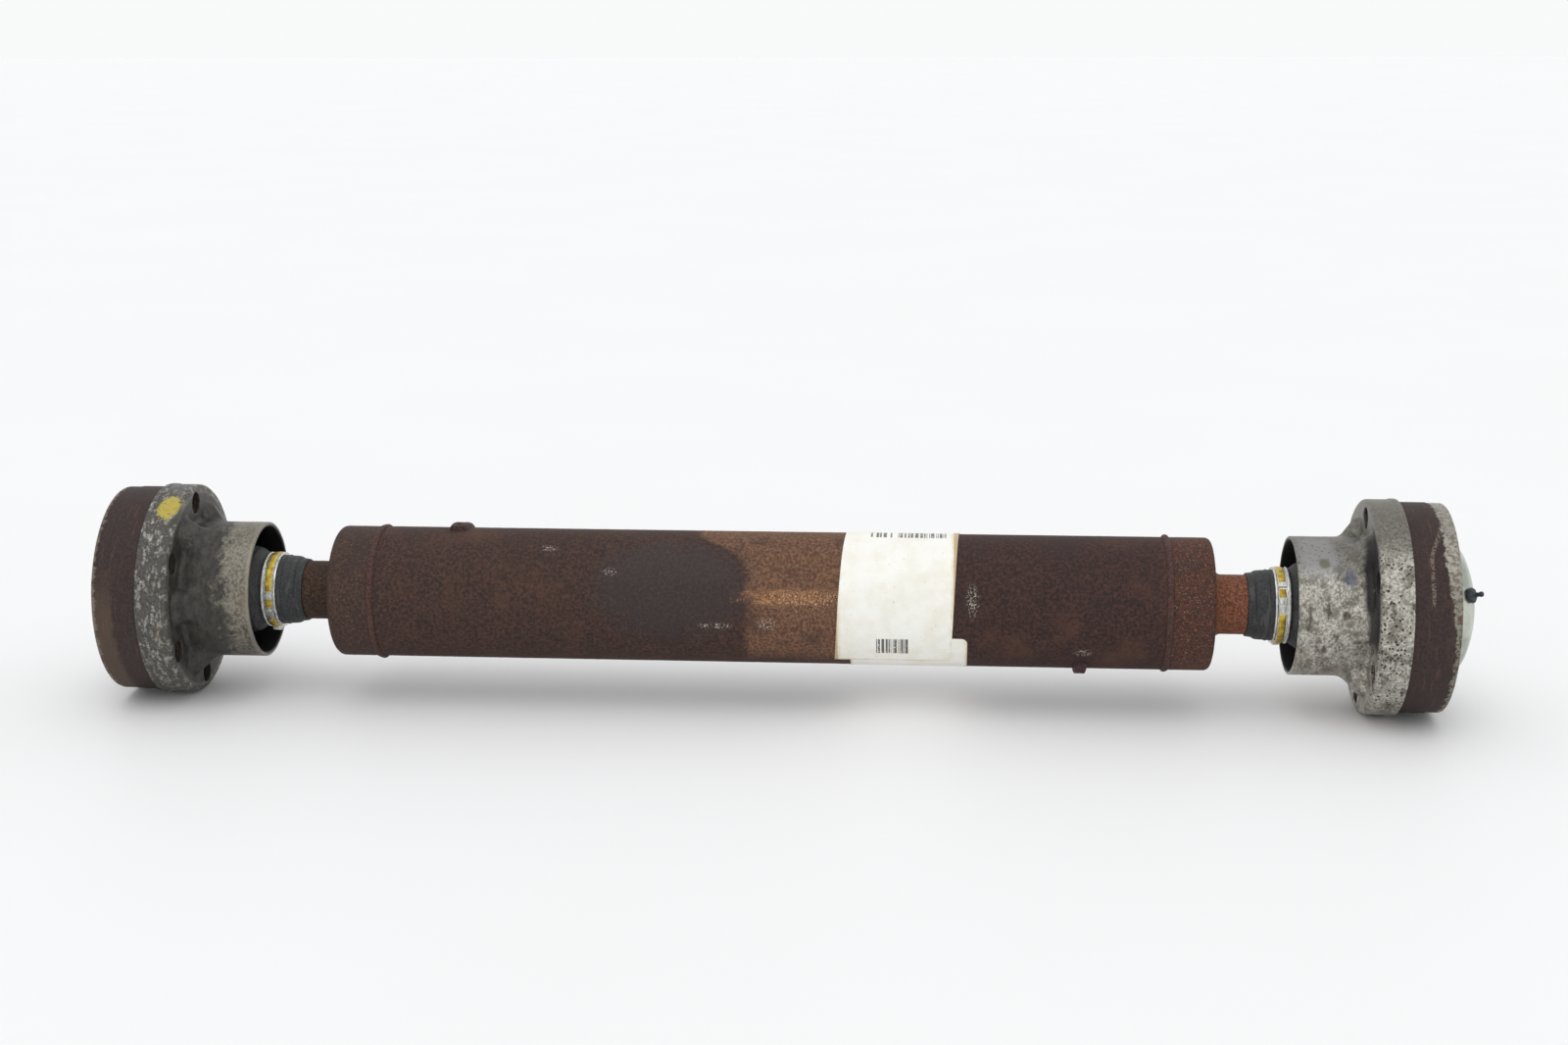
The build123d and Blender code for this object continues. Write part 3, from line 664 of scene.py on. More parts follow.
def pitted_can():
    """Right can: brighter zinc with black pits, brown stains and a few grey blots, with painted shade over
    its top and in the corner between its lobes and skirt.
    """
    f = Finish("right_can_zinc", specular=0.5)
    fine = f.noise(1.3, detail=6, rough=0.7)
    blotch = f.noise(6.0, detail=6, rough=0.65)
    cloud = f.noise(17, detail=4)
    # Painted light and shade: the zinc comes in a lighter and a darker copy of the same tones, lighter low
    # on the front and darker over the top, blended between 30 and 54 degrees up.
    bright = f.tones(fine, (138, 135, 126), (214, 210, 200))
    shaded_zinc = f.tones(fine, (92, 90, 84), (134, 131, 123))
    f.colour = f.mix(f.remap(f.angle, 30.0, 54.0), bright, shaded_zinc)
    f.coat((108, 104, 93), f.remap(blotch, 0.48, 0.62, 0.0, 0.75))
    smear = f.times(f.remap(f.noise(4.0, detail=6, rough=0.7, along=0.8, around=1.8), 0.52, 0.64),
                    f.remap(f.angle, 58.0, 36.0))
    f.coat((72, 67, 58), smear, 0.7)
    lilac = f.spot(258.0, 62.0, 10.0, 24.0, soft=0.4, ragged=0.5, grain=8.0)
    f.coat((166, 165, 168), lilac, 0.5)
    pits = f.remap(f.cells(1.9), 0.36, 0.24)
    some = f.remap(f.noise(9.0, detail=4), 0.38, 0.5)
    middle = f.band(f.angle, -60.0, 48.0, 14.0)
    pits = f.times(f.times(pits, some), f.blend(f.remap(f.radius, 46.0, 48.0), 0.4, middle))
    fine_pits = f.times(f.remap(f.noise(0.8, detail=3, rough=0.6), 0.56, 0.62), middle)
    dark = f.most(pits, f.times(fine_pits, 0.35))
    f.coat((52, 46, 42), dark)
    blots = ((260.7, 51.6, 2.6, 5.0, (98, 96, 74)), (267.0, 46.0, 3.0, 3.5, (110, 108, 104)),
             (271.7, 38.0, 2.6, 7.5, (86, 88, 104)), (270.0, 7.7, 1.8, 3.4, (66, 56, 50)))
    for x, angle, long, high, tone in blots:
        blot = f.spot(x, angle, long, high, soft=0.35, ragged=0.35, grain=2.5)
        f.coat(tone, blot, 0.8)
    # Painted shade: near-black where the lobes meet the skirt, 277 to 280 mm out and 46.6 to 48.6 mm in
    # radius, on the front and upper side, broken up by noise.
    crease_shade = f.times(f.remap(f.end, 277.2, 279.6), f.remap(f.radius, 48.6, 46.6))
    crease_shade = f.times(crease_shade, f.band(f.angle, -14.0, 64.0, 6.0))
    crease_shade = f.times(crease_shade, f.remap(f.noise(5.0), 0.22, 0.36))
    f.coat((30, 27, 26), crease_shade, 0.95)
    stain = f.times(f.remap(cloud, 0.52, 0.7), f.remap(f.angle, 20.0, -40.0))
    f.coat((116, 96, 72), stain, 0.5)
    inside = f.remap(f.radius, 32.2, 31.6)
    f.coat((26, 24, 24), inside)
    # Pits, the painted shade by the lobes and the inside are less metallic and rougher.
    covered = f.most(dark, crease_shade, inside)
    metallic = f.remap(covered, 0.0, 1.0, 0.78, 0.15)
    roughness = f.blend(covered, f.remap(fine, 0.3, 0.7, 0.34, 0.54), 0.62)
    height = f.minus(fine, f.times(dark, 1.2))
    return f.finish(roughness, metallic, height, relief=0.14, strength=0.8)


def cap_zinc():
    """Satin zinc of the end caps, a little green, with faint handling marks."""
    f = Finish("cap_zinc", specular=0.5)
    fine = f.noise(1.6, detail=5, rough=0.6)
    cloud = f.noise(14, detail=4, warp=0.4)
    f.colour = f.tones(cloud, (150, 156, 146), (196, 200, 188))
    f.coat((120, 122, 112), f.remap(fine, 0.62, 0.72, 0.0, 0.5))
    rim = f.remap(f.radius, 33.0, 35.0)
    f.coat((110, 108, 98), rim, 0.5)
    return f.finish(f.remap(cloud, 0.3, 0.7, 0.26, 0.4), 0.85, fine, relief=0.04, strength=0.5)


def plug_rubber():
    """Old dark rubber of the vent plugs."""
    f = Finish("plug_rubber", specular=0.4)
    fine = f.noise(0.7, detail=4, rough=0.6)
    f.colour = f.tones(fine, (34, 42, 44), (68, 78, 78))
    return f.finish(0.62, height=fine, relief=0.06)


def boot_rubber():
    """Dusty black rubber with faint moulded rings."""
    f = Finish("boot_rubber", specular=0.4)
    fine = f.noise(0.9, detail=5, rough=0.6)
    dust = f.noise(6.0, detail=5, along=0.6, around=2.5)
    f.colour = f.tones(fine, (36, 37, 39), (60, 61, 62))
    f.coat((96, 96, 92), f.remap(dust, 0.5, 0.68, 0.0, 0.5))
    rings = f.math("SINE", f.times(f.end, 2 * pi / 1.7))
    height = f.plus(f.times(rings, 0.25), fine)
    return f.finish(f.remap(dust, 0.3, 0.7, 0.5, 0.72), height=height, relief=0.08, strength=0.6)


def clamp_steel():
    """Bright zinc of the clamp bands, with brownish spots."""
    f = Finish("clamp_steel", specular=0.5)
    fine = f.noise(0.8, detail=4, along=0.5, around=4.0)
    spots = f.noise(2.0, detail=5, rough=0.65)
    f.colour = f.tones(fine, (168, 168, 164), (226, 226, 220))
    f.coat((120, 104, 74), f.remap(spots, 0.58, 0.68, 0.0, 0.7))
    return f.finish(f.remap(spots, 0.3, 0.7, 0.24, 0.42), 0.9, fine, relief=0.03)


def clamp_gold():
    """Yellow passivated strip in the middle of the clamps."""
    f = Finish("clamp_gold", specular=0.5)
    fine = f.noise(0.8, detail=4, along=0.5, around=4.0)
    cloud = f.noise(4.0, detail=4)
    f.colour = f.tones(cloud, (150, 120, 30), (222, 196, 84))
    f.coat((96, 78, 34), f.remap(fine, 0.62, 0.74, 0.0, 0.5))
    return f.finish(f.remap(cloud, 0.3, 0.7, 0.3, 0.46), 0.7, fine, relief=0.03)


def bars(f, position, width, seed):
    """Return a share that is 1 on uneven upright bars along a position."""
    node = f.add("ShaderNodeTexWhiteNoise", noise_dimensions="1D")
    step = f.math("FLOOR", f.math("DIVIDE", position, width))
    f.feed(node.inputs["W"], f.plus(step, seed))
    return f.math("GREATER_THAN", node.outputs["Value"], 0.48)


def label_paper(name, span, arc, bar_boxes):
    """Glossy paper yellowed towards its edges, with bar patterns that say nothing."""
    f = Finish(name, specular=0.5)
    fibre = f.noise(0.8, detail=4, rough=0.6)
    cloud = f.noise(11, detail=5, rough=0.6)
    f.colour = f.tones(cloud, (246, 246, 240), (238, 235, 222), 0.35, 0.7)
    wander = f.times(f.noise(5.0, detail=5, rough=0.65), 3.6)
    from_left = f.minus(f.x, span[0])
    from_right = f.minus(span[1], f.x)
    from_foot = f.times(f.minus(f.angle, arc[0]), MM_PER_DEGREE)
    near = f.least(from_left, from_right, from_foot)
    stain = f.remap(f.minus(near, wander), 0.5, -2.6)
    f.coat((206, 180, 120), stain, 0.7)
    edge = f.remap(near, 0.5, 0.1)
    f.coat((150, 118, 80), edge, 0.5)
    spots = f.remap(f.noise(1.4, detail=3, rough=0.5), 0.7, 0.74)
    f.coat((150, 128, 92), spots, 0.5)
    for x0, x1, angle0, angle1, width in bar_boxes:
        box = f.times(f.band(f.x, x0, x1, 0.05), f.band(f.angle, angle0, angle1, 0.2))
        ink = f.times(box, bars(f, f.x, width, 40.0))
        worn = f.remap(f.noise(1.0, detail=4, rough=0.6), 0.34, 0.44)
        f.coat((48, 47, 48), f.times(ink, worn), 0.9)
    height = f.plus(f.times(fibre, 0.3), cloud)
    return f.finish(f.remap(cloud, 0.3, 0.7, 0.3, 0.5), height=height, relief=0.25, strength=0.4)


def greased_steel(name, dark, light, roughness=0.22):
    """Bearing steel under a film of old grease."""
    f = Finish(name, specular=0.5)
    film = f.noise(5.0, detail=5, rough=0.6)
    fine = f.noise(0.8, detail=3)
    f.colour = f.tones(film, dark, light)
    shine = f.remap(film, 0.35, 0.65, roughness + 0.25, roughness)
    return f.finish(shine, 0.85, fine, relief=0.02, strength=0.5)


def gasket_fibre():
    """Pressed fibre of the gaskets, soaked brown."""
    f = Finish("gasket_fibre", specular=0.25)
    fibre = f.noise(0.7, detail=5, rough=0.7, around=2.0)
    f.colour = f.tones(fibre, (52, 44, 36), (96, 84, 66))
    return f.finish(0.85, height=fibre, relief=0.08)


def floor_paint():
    """Plain pale paint."""
    f = Finish("floor_paint", specular=0.3)
    cloud = f.noise(260, detail=4)
    f.colour = f.mix(cloud, (242, 242, 242), (246, 246, 247))
    return f.finish(0.55)


# Pieces of the tube

def make_tube(material):
    """Tube with bevelled ends and a slightly uneven rusted skin."""
    inside = TUBE_R - TUBE_WALL
    skin = outline([(-TUBE_HALF, inside), (1.0 - TUBE_HALF, TUBE_R), (TUBE_HALF - 1.0, TUBE_R),
                    (TUBE_HALF, inside)], step=1.35, closed=False)
    bore = outline([(TUBE_HALF, inside), (-TUBE_HALF, inside)], step=40, closed=False)[1:-1]
    tube = turned("tube_skin", 1, np.vstack([skin, bore]), 300)
    roughen(tube, 2.2, 0.045, octaves=3, seed=1)
    dress(tube, material)
    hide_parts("tube")
    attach(tube, "shaft")


def make_weld(name, side, material):
    """Weld bead with ripples and a slightly wandering line."""
    inside = TUBE_R - TUBE_WALL
    crown = [(WELD_X - WELD_HALF + 2 * WELD_HALF * k / 12,
              TUBE_R - 0.05 + 1.2 * sqrt(max(0.0, 1 - (k / 6 - 1) ** 2))) for k in range(13)]
    points = np.array([(WELD_X - 0.6, inside), *crown, (WELD_X + 0.6, inside)])

    def ripple(x, r, angle):
        proud = np.clip(r - TUBE_R, 0, None)
        turn = np.radians(angle)
        scallops = 0.82 + 0.18 * np.abs(np.sin(46 * turn + 0.7 * np.sin(5 * turn)))
        lumps = 1 + 0.14 * np.sin(7 * turn + side) + 0.1 * np.sin(17 * turn)
        drift = 0.16 * np.sin(3 * turn) + 0.1 * np.sin(11 * turn)
        return x + drift * (proud > 0), r - proud + proud * scallops * lumps

    bead = turned(f"{name}_weld", side, points, 900, shape=ripple)
    dress(bead, material, sharp=50)
    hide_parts(f"{name}_weld_bead")
    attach(bead, "shaft")


def make_weight(name, span, arc, welds, material):
    """Balance weight: a thick curved tab with round edges and pressed spot welds."""
    width = abs(span[1] - span[0])
    length = (arc[1] - arc[0]) * MM_PER_DEGREE

    def dimples(x, angle, top, bottom, u, v):
        for at in welds:
            far = np.hypot((u - 0.5) * width, (v - at) * length)
            top = top - 0.7 * np.exp(-(far / 1.5) ** 2) + 0.25 * np.exp(-((far - 2.4) / 0.7) ** 2)
        top = np.maximum(top, bottom)
        return x, angle, top, bottom

    tab = wrapped_plate(f"{name}_weight", 1, span, arc, TUBE_R, 2.38, 0.9, 36, 90, shape=dimples)
    roughen(tab, 1.5, 0.04, seed=3)
    dress(tab, material, sharp=60)
    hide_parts(f"{name}_balance_weight")
    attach(tab, "shaft")


def make_label(name, node, span, arc, lift, slants, corner, corner_end, material):
    """Paper label: a thin curved sheet with slanting sides, lifted edges and a round right-hand corner.

    The slants say how far the left edge's top and the right edge's foot and top stand to the right.
    The round corner is at the foot of the label for corner_end 0 and at its top for 1.
    """
    inward = 1 if corner_end == 0 else -1
    centre_x = span[1] - corner
    centre_angle = arc[corner_end] + inward * corner / MM_PER_DEGREE

    def shape(x, angle, top, bottom, u, v):
        from_end = (angle - arc[corner_end]) * inward * MM_PER_DEGREE
        off = np.hypot(np.clip(x - centre_x, 0, None), np.clip(corner - from_end, 0, None))
        pull = np.clip(off / corner, 1, None)
        beyond = (x > centre_x) & (from_end < corner)
        x = np.where(beyond, centre_x + (x - centre_x) / pull, x)
        angle = np.where(beyond, centre_angle + (angle - centre_angle) / pull, angle)
        left_top, right_foot, right_top = slants
        x = x + left_top * v * (1 - u) + (right_foot + (right_top - right_foot) * v) * u
        curl = np.exp(-np.minimum(u, 1 - u) * (span[1] - span[0]) / 1.6) * (0.5 + 0.5 * np.sin(angle / 7))
        foot = np.exp(-v * (arc[1] - arc[0]) * MM_PER_DEGREE / 1.8) * (0.5 + 0.5 * np.sin(x / 5))
        wave = 0.05 * np.sin(x / 6 + angle / 23) * np.sin(angle / 13)
        rise = 0.16 * curl + 0.2 * foot + wave + 0.05
        return x, angle, top + rise, bottom + rise * 0.9

    sheet = wrapped_plate(name, 1, span, arc, TUBE_R + lift, 0.12, 0.02, 90, 240, shape=shape)
    dress(sheet, material, sharp=50)
    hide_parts(node)
    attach(sheet, "shaft")


# Pieces of each end

STUB_SHOULDER_X = 210.6
NECK_X = 212.4
NECK_R = 14.25
JOURNAL_X = 260.0
JOURNAL_R = 13.5
SPLINE_X = JOINT_X - 11.9
SPLINE_R = 12.8
SPLINE_TEETH = 22
SPLINE_DEPTH = 0.9
SPLINE_ROOT_R = SPLINE_R - SPLINE_DEPTH
CIRCLIP_X = 312.5


def make_stub(name, side, material):
    """Forged stub shaft: shoulder with a soft edge, filleted neck, journal and splines."""
    inside = TUBE_R - TUBE_WALL
    corners = [
        (STUB_START, 0), (STUB_START, inside - 0.05, 0.8), (WELD_X + 0.6, inside - 0.05),
        (WELD_X + 0.6, inside), (WELD_X + WELD_HALF, TUBE_R), (STUB_SHOULDER_X, TUBE_R, 3.0),
        (NECK_X, NECK_R, 4.5), (JOURNAL_X, NECK_R, 0.5), (JOURNAL_X + 1.2, JOURNAL_R, 0.5),
        (SPLINE_X - 0.1, JOURNAL_R), (SPLINE_X, SPLINE_R), (CIRCLIP_X, SPLINE_R),
        (CIRCLIP_X + 0.05, SPLINE_ROOT_R), (CIRCLIP_X + 1.35, SPLINE_ROOT_R),
        (CIRCLIP_X + 1.4, SPLINE_R), (STUB_STOP, SPLINE_R, 0.8), (STUB_STOP, 0),
    ]
    points = outline(corners, step=1.2, arc_step=0.4, closed=False)

    def splines(x, r, angle):
        within = (x > SPLINE_X - 0.05) & (r > SPLINE_ROOT_R + 0.05)
        phase = (angle * SPLINE_TEETH / 360) % 1
        groove = smoothstep(0.26, 0.32, np.abs(phase - 0.5)) < 0.5
        return x, np.where(within & groove, r - SPLINE_DEPTH, r)

    stub = turned(f"{name}_stub", side, points, SPLINE_TEETH * 14, closed=False, shape=splines)
    roughen(stub, 2.0, 0.05, seed=5 + side)
    dress(stub, material)
    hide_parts(f"{name}_stub_shaft")
    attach(stub, "shaft")


RACE_BORE_R = 32.7
PILOT_X = 311.0
PILOT_STEP = 0.3


def make_race(name, side, material):
    """Outer race: a thick ring with a machined rim, six bolt holes and six ball tracks."""
    corners = [
        (RACE_START, RACE_BORE_R), (RACE_START, RACE_R, 0.8), (PILOT_X, RACE_R, 0.3),
        (PILOT_X + PILOT_STEP, RACE_R - PILOT_STEP, 0.2), (RACE_STOP, RACE_R - PILOT_STEP, 0.9),
        (RACE_STOP, CAP_SEAT_R), (CAP_START, CAP_SEAT_R), (CAP_START, RACE_BORE_R),
    ]
    race = turned(f"{name}_race", side, outline(corners, step=1.6, arc_step=0.3), 360)
    roughen(race, 2.0, 0.04, seed=9 + side)
    holes = [rod("bolt", side, RACE_START, RACE_STOP, y, z, BOLT_HOLE_R, 0.4) for y, z in bolt_places()]
    tracks = []
    for k in range(LOBES):
        y = BALL_CIRCLE_R * cos(radians(LOBE_STEP * k))
        z = BALL_CIRCLE_R * sin(radians(LOBE_STEP * k))
        tracks.append(rod("track", side, RACE_START, CAP_START, y, z, TRACK_R))
    cut(race, [joined("holes", holes), joined("tracks", tracks)])
    dress(race, material)
    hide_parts(f"{name}_outer_race")
    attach(race, f"{name}_flange")


CAN_FACE_X = 282.1
CAN_NECK_R = 33.05
CAN_SHEET = 2.0
SKIRT_R = 51.2
SKIRT_INNER_R = 50.05
FACE_MIDDLE_R = 46.5
LOBE_START_X = 264.0
LOBE_TOP_HALVES = (7.1, 5.0)
LOBE_FOOT_HALVES = (11.4, 9.2)
LOBE_TIP_R = 42.6


def can_rows(sheet, lobe_foot, lobe_tip, lobe_end, rim_r, skirt_r, lip):
    """Return the can's outline twice, through a valley and through a lobe, with matching points."""
    neck_r = CAN_NECK_R - sheet
    face_x = CAN_FACE_X + sheet
    neck = outline([(CAN_START, rim_r), (CAN_START, neck_r, 0.8), (LOBE_START_X, neck_r)],
                   step=1.2, closed=False)
    valley = outline([(LOBE_START_X, neck_r), (face_x, neck_r, 2.4), (face_x, FACE_MIDDLE_R)], closed=False)
    lobe = outline([(LOBE_START_X, neck_r), (*lobe_foot, 7.0), (*lobe_tip, 1.6), (*lobe_end, 1.0),
                    (face_x, FACE_MIDDLE_R)], closed=False)
    skirt = outline([(face_x, FACE_MIDDLE_R), (face_x, skirt_r, 4.0 - sheet / 2), *lip], closed=False)
    count = 52
    valley = resample(valley, count)
    lobe = resample(lobe, count)
    return (np.vstack([neck[:-1], valley[:-1], skirt]), np.vstack([neck[:-1], lobe[:-1], skirt]))


def can_dents(x, r, angle):
    """Press a few shallow dents into the right can's neck."""
    dents = ((271.0, 40.0, 3.6, 0.5), (270.0, 7.7, 1.5, 0.6), (259.0, -24.0, 4.0, 0.2),
             (262.0, 150.0, 5.0, 0.3))
    for at, turn, size, depth in dents:
        off = (angle - turn + 180) % 360 - 180
        far = np.hypot(x - at, np.radians(off) * CAN_NECK_R) / size
        r = r - depth * np.exp(-(far**2)) + 0.25 * depth * np.exp(-(((far - 1.7) / 0.5) ** 2))
    return r


def make_can(name, side, material):
    """Pressed can: rolled rim, neck, six lobes that melt into the bolt face, skirt and lip."""
    rim_r = CAN_NECK_R - CAN_SHEET / 2
    lip_r = (radius_of(f"{name}_boot_can") + SKIRT_INNER_R) / 2
    outer_lip = [(CAN_STOP - 3.2, SKIRT_R, 0.8), (CAN_STOP - 2.4, SKIRT_R + 0.4, 0.4),
                 (CAN_STOP, SKIRT_R + 0.4, 0.35), (CAN_STOP, lip_r)]
    outer = can_rows(0.0, (272.2, CAN_NECK_R), (279.9, 42.5), (CAN_FACE_X, 43.5), rim_r, SKIRT_R, outer_lip)
    inner_lip = [(CAN_STOP, SKIRT_INNER_R, 0.2), (CAN_STOP, lip_r)]
    inner = can_rows(CAN_SHEET, (273.9, CAN_NECK_R - CAN_SHEET), (281.9, 40.8),
                     (CAN_FACE_X + CAN_SHEET, 41.4), rim_r, SKIRT_INNER_R, inner_lip)
    columns = 384
    angle = np.arange(columns) * 360 / columns
    off = (angle + LOBE_STEP / 2) % LOBE_STEP - LOBE_STEP / 2
    grids = []
    for valley, lobe in (outer, inner):
        across = np.abs(lobe[:, 1:] * np.sin(np.radians(off))[None, :])
        along = (lobe[:, 1:] - CAN_NECK_R) / (LOBE_TIP_R - CAN_NECK_R)
        top = LOBE_TOP_HALVES[0] + (LOBE_TOP_HALVES[1] - LOBE_TOP_HALVES[0]) * along
        foot = LOBE_FOOT_HALVES[0] + (LOBE_FOOT_HALVES[1] - LOBE_FOOT_HALVES[0]) * along
        share = 1 - smoothstep(top - 1.5, foot + 1.0, across)
        grids.append(valley[:, None, :] + (lobe - valley)[:, None, :] * share[:, :, None])
    grid = np.vstack([grids[0], grids[1][-2:0:-1]])
    x, r = grid[:, :, 0], grid[:, :, 1]
    angles = np.repeat(angle[None, :], len(grid), axis=0)
    if side > 0:
        on_neck = (r < CAN_NECK_R + 1) & (x > CAN_START + 3)
        r = np.where(on_neck, can_dents(x, r, angles), r)
    can = new_piece(f"{name}_can", place(side, x, r, angles), grid_faces(len(grid), columns, True, True))
    roughen(can, 9.0, 0.06, octaves=2, seed=13 + side)
    holes = [rod("bolt", side, CAN_FACE_X, CAN_FACE_X + CAN_SHEET, y, z, BOLT_HOLE_R, 0.35)
             for y, z in bolt_places()]
    cut(can, [joined("holes", holes)])
    dress(can, material)
    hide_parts(f"{name}_boot_can")
    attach(can, f"{name}_flange")


CAP_SHEET = 1.1
CAP_DOME_R = 32.0
CAP_CROWN_R = 62.0
CAP_CORNER_R = 10.0
VENT_ANGLES = {-1: 153.0, 1: 27.0}
VENT_TILT = 40.0
VENT_LIFT = 0.3


def dome_corner():
    """Return the centre of the dome's corner arc and where its crown arc ends, in radians."""
    crown_x = CAP_STOP - CAP_CROWN_R
    corner_r = CAP_DOME_R - CAP_CORNER_R
    corner_x = crown_x + sqrt((CAP_CROWN_R - CAP_CORNER_R) ** 2 - corner_r**2)
    return crown_x, corner_x, corner_r, atan2(corner_r, corner_x - crown_x)


def dome_line(sheet):
    """Return points over the dome from its apex to its foot, a sheet's thickness inside it."""
    crown_x, corner_x, corner_r, tilt = dome_corner()
    crown_r = CAP_CROWN_R - sheet
    round_r = CAP_CORNER_R - sheet
    crown_turns = [tilt * k / 24 for k in range(24)]
    turns = [tilt + (pi / 2 - tilt) * k / 20 for k in range(21)]
    crown = [(crown_x + crown_r * cos(turn), crown_r * sin(turn)) for turn in crown_turns]
    corner = [(corner_x + round_r * cos(turn), corner_r + round_r * sin(turn)) for turn in turns]
    return crown + corner


def make_cap(name, side, material):
    """Domed end cap with a small fillet at the foot of its dome and a flat rim."""
    rim_x = CAP_START + CAP_SHEET
    foot = outline([dome_line(0)[-1], (rim_x, CAP_DOME_R, 1.2), (rim_x, CAP_SEAT_R, 0.3),
                    (CAP_START, CAP_SEAT_R, 0.3), (CAP_START, CAP_DOME_R - CAP_SHEET, 0.6),
                    dome_line(CAP_SHEET)[-1]], step=1.2, closed=False)
    points = np.vstack([dome_line(0), foot[1:-1], dome_line(CAP_SHEET)[::-1]])
    cap = turned(f"{name}_cap", side, points, 240, closed=False)
    roughen(cap, 14.0, 0.05, octaves=2, seed=17 + side)
    dress(cap, material)
    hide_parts(f"{name}_end_cap")
    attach(cap, f"{name}_flange")


def make_plug(name, side, material):
    """Vent plug: a soft round head, a nipple with a bead at its tip, and a stem through the cap."""
    corners = [(-4.0, 0), (-4.0, 1.15, 0.3), (0.0, 1.15), (0.0, 3.7, 0.3), (0.8, 3.75, 0.3),
               (2.0, 3.2, 0.7), (2.0, 1.5, 0.4), (2.6, 1.2, 0.3), (4.6, 0.95, 0.3),
               (5.0, 1.3, 0.3), (6.2, 1.2, 0.5), (6.5, 0.5), (6.5, 0)]

    def ragged(x, r, angle):
        turn = np.radians(angle)
        head = (x > -0.1) & (r > 2.0)
        worn = 0.97 - 0.03 * np.sin(5 * turn) - 0.02 * np.sin(9 * turn + 1)
        return x, np.where(head, r * worn, r)

    points = outline(corners, step=0.4, arc_step=0.12, closed=False)
    plug = turned(f"{name}_plug", 1, points, 72, closed=False, shape=ragged)
    crown_x, corner_x, corner_r, tilt = dome_corner()
    turn = radians(VENT_ANGLES[side])
    out = Vector((0, -cos(turn), sin(turn)))
    normal = Vector((side, 0, 0)) * cos(radians(VENT_TILT)) + out * sin(radians(VENT_TILT))
    seat = Vector((side * corner_x, 0, 0)) + out * corner_r + normal * (CAP_CORNER_R + VENT_LIFT)
    turned_to = normal.to_track_quat("X", "Z").to_matrix().to_4x4()
    plug.data.transform(Matrix.Translation(seat * MM) @ turned_to)
    dress(plug, material, sharp=45)
    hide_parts(f"{name}_vent_plug")
    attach(plug, f"{name}_flange")


FIRST_FOLD_X = 259.0
SECOND_FOLD_X = 270.0
BOOT_STOP_X = 276.0
CLAMP_SEAT_R = 17.0


def make_boot(name, side, material):
    """Rubber boot in three lengths: sleeve, fold and outer wall."""
    lengths = (
        ("sleeve", [(SLEEVE_START, 14.3), (SLEEVE_START, 15.1, 0.4), (230.6, 15.5, 0.5), (231.4, 16.1, 0.4),
                    (232.6, 16.5, 0.5), (236.4, 16.7, 0.4), (237.1, 17.1, 0.4), (237.9, 16.8, 0.4),
                    (239.7, 17.0), (247.2, 17.0, 0.6), (249.2, 18.6, 1.0), (251.6, 20.4, 1.6),
                    (255.2, 21.4, 1.6), (FIRST_FOLD_X, 21.6), (FIRST_FOLD_X, 20.1), (255.0, 19.8, 1.5),
                    (251.6, 18.8, 1.5), (248.0, 15.6, 1.5), (246.5, 14.3, 0.5)],
         "shaft", f"{name}_boot_inner", 252.0, FIRST_FOLD_X, ("boot_sleeve",)),
        ("fold", [(FIRST_FOLD_X, 21.6), (261.0, 21.5, 1.2), (264.0, 22.6, 1.6), (267.2, 22.8, 1.6),
                  (SECOND_FOLD_X, 22.0), (SECOND_FOLD_X, 20.4), (267.4, 21.2, 1.4), (264.4, 20.8, 1.4),
                  (261.6, 19.9, 1.2), (FIRST_FOLD_X, 20.1)],
         f"{name}_boot_inner", f"{name}_boot_outer", FIRST_FOLD_X, SECOND_FOLD_X, ("boot_inner_fold",)),
        ("wall", [(SECOND_FOLD_X, 22.0), (271.4, 22.4, 1.0), (273.0, 29.8, 1.0), (268.6, 30.0, 0.6),
                  (268.4, 31.0, 0.4), (BOOT_STOP_X, 31.0, 0.6), (BOOT_STOP_X, 28.8, 0.6),
                  (274.6, 28.4, 0.8), (273.2, 21.0, 1.2), (SECOND_FOLD_X, 20.4)],
         f"{name}_boot_outer", f"{name}_flange", SECOND_FOLD_X, BOOT_STOP_X,
         ("boot_outer_fold", "boot_bead")),
    )
    for part, corners, first, second, start, stop, nodes in lengths:
        points = outline(corners, step=0.7, arc_step=0.3)
        piece = turned(f"{name}_boot_{part}_skin", side, points, 192)
        dress(piece, material, sharp=50)
        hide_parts(*[f"{name}_{node}" for node in nodes])
        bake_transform(piece)


EAR_ANGLES = {"left": -75.0, "right": -100.0}
EAR_HALF_LENGTH = 2.8
EAR_HEIGHT = 2.3
TONGUE_START = 241.5
TONGUE_STOP = 244.7
TONGUE_R = 17.85
FIRST_WINDOWS = {"left": -28.0, "right": 14.0}
WINDOW_TURNS = (0.0, 26.0, 150.0, 232.0, 347.0)
WINDOW = 13.0
BRIDGE_GAP = 2.5


def make_ear(name, side, steel):
    """Crimped ear of a clamp: a raised loop, narrow in the middle and pressed in on top."""
    middle = (TONGUE_START + TONGUE_STOP) / 2

    def pinched(x, angle, top, bottom, u, v):
        waist = 1 - 0.16 * np.sin(pi * v) ** 2
        far = np.hypot((u - 0.5) * 3.2, (v - 0.5) * 5.6)
        top = np.maximum(top - 1.3 * (1 - smoothstep(0.6, 0.95, far)), bottom)
        return middle + (x - middle) * waist, angle, top, bottom

    half_arc = degrees(EAR_HALF_LENGTH / (TONGUE_R + 0.05))
    arc = (EAR_ANGLES[name] - half_arc, EAR_ANGLES[name] + half_arc)
    span = (TONGUE_START - 0.4, TONGUE_STOP + 0.4)
    ear = wrapped_plate(f"{name}_clamp_ear", side, span, arc, TONGUE_R, EAR_HEIGHT, 0.8, 28, 44,
                        shape=pinched)
    dress(ear, steel, sharp=60)
    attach(ear, "shaft")


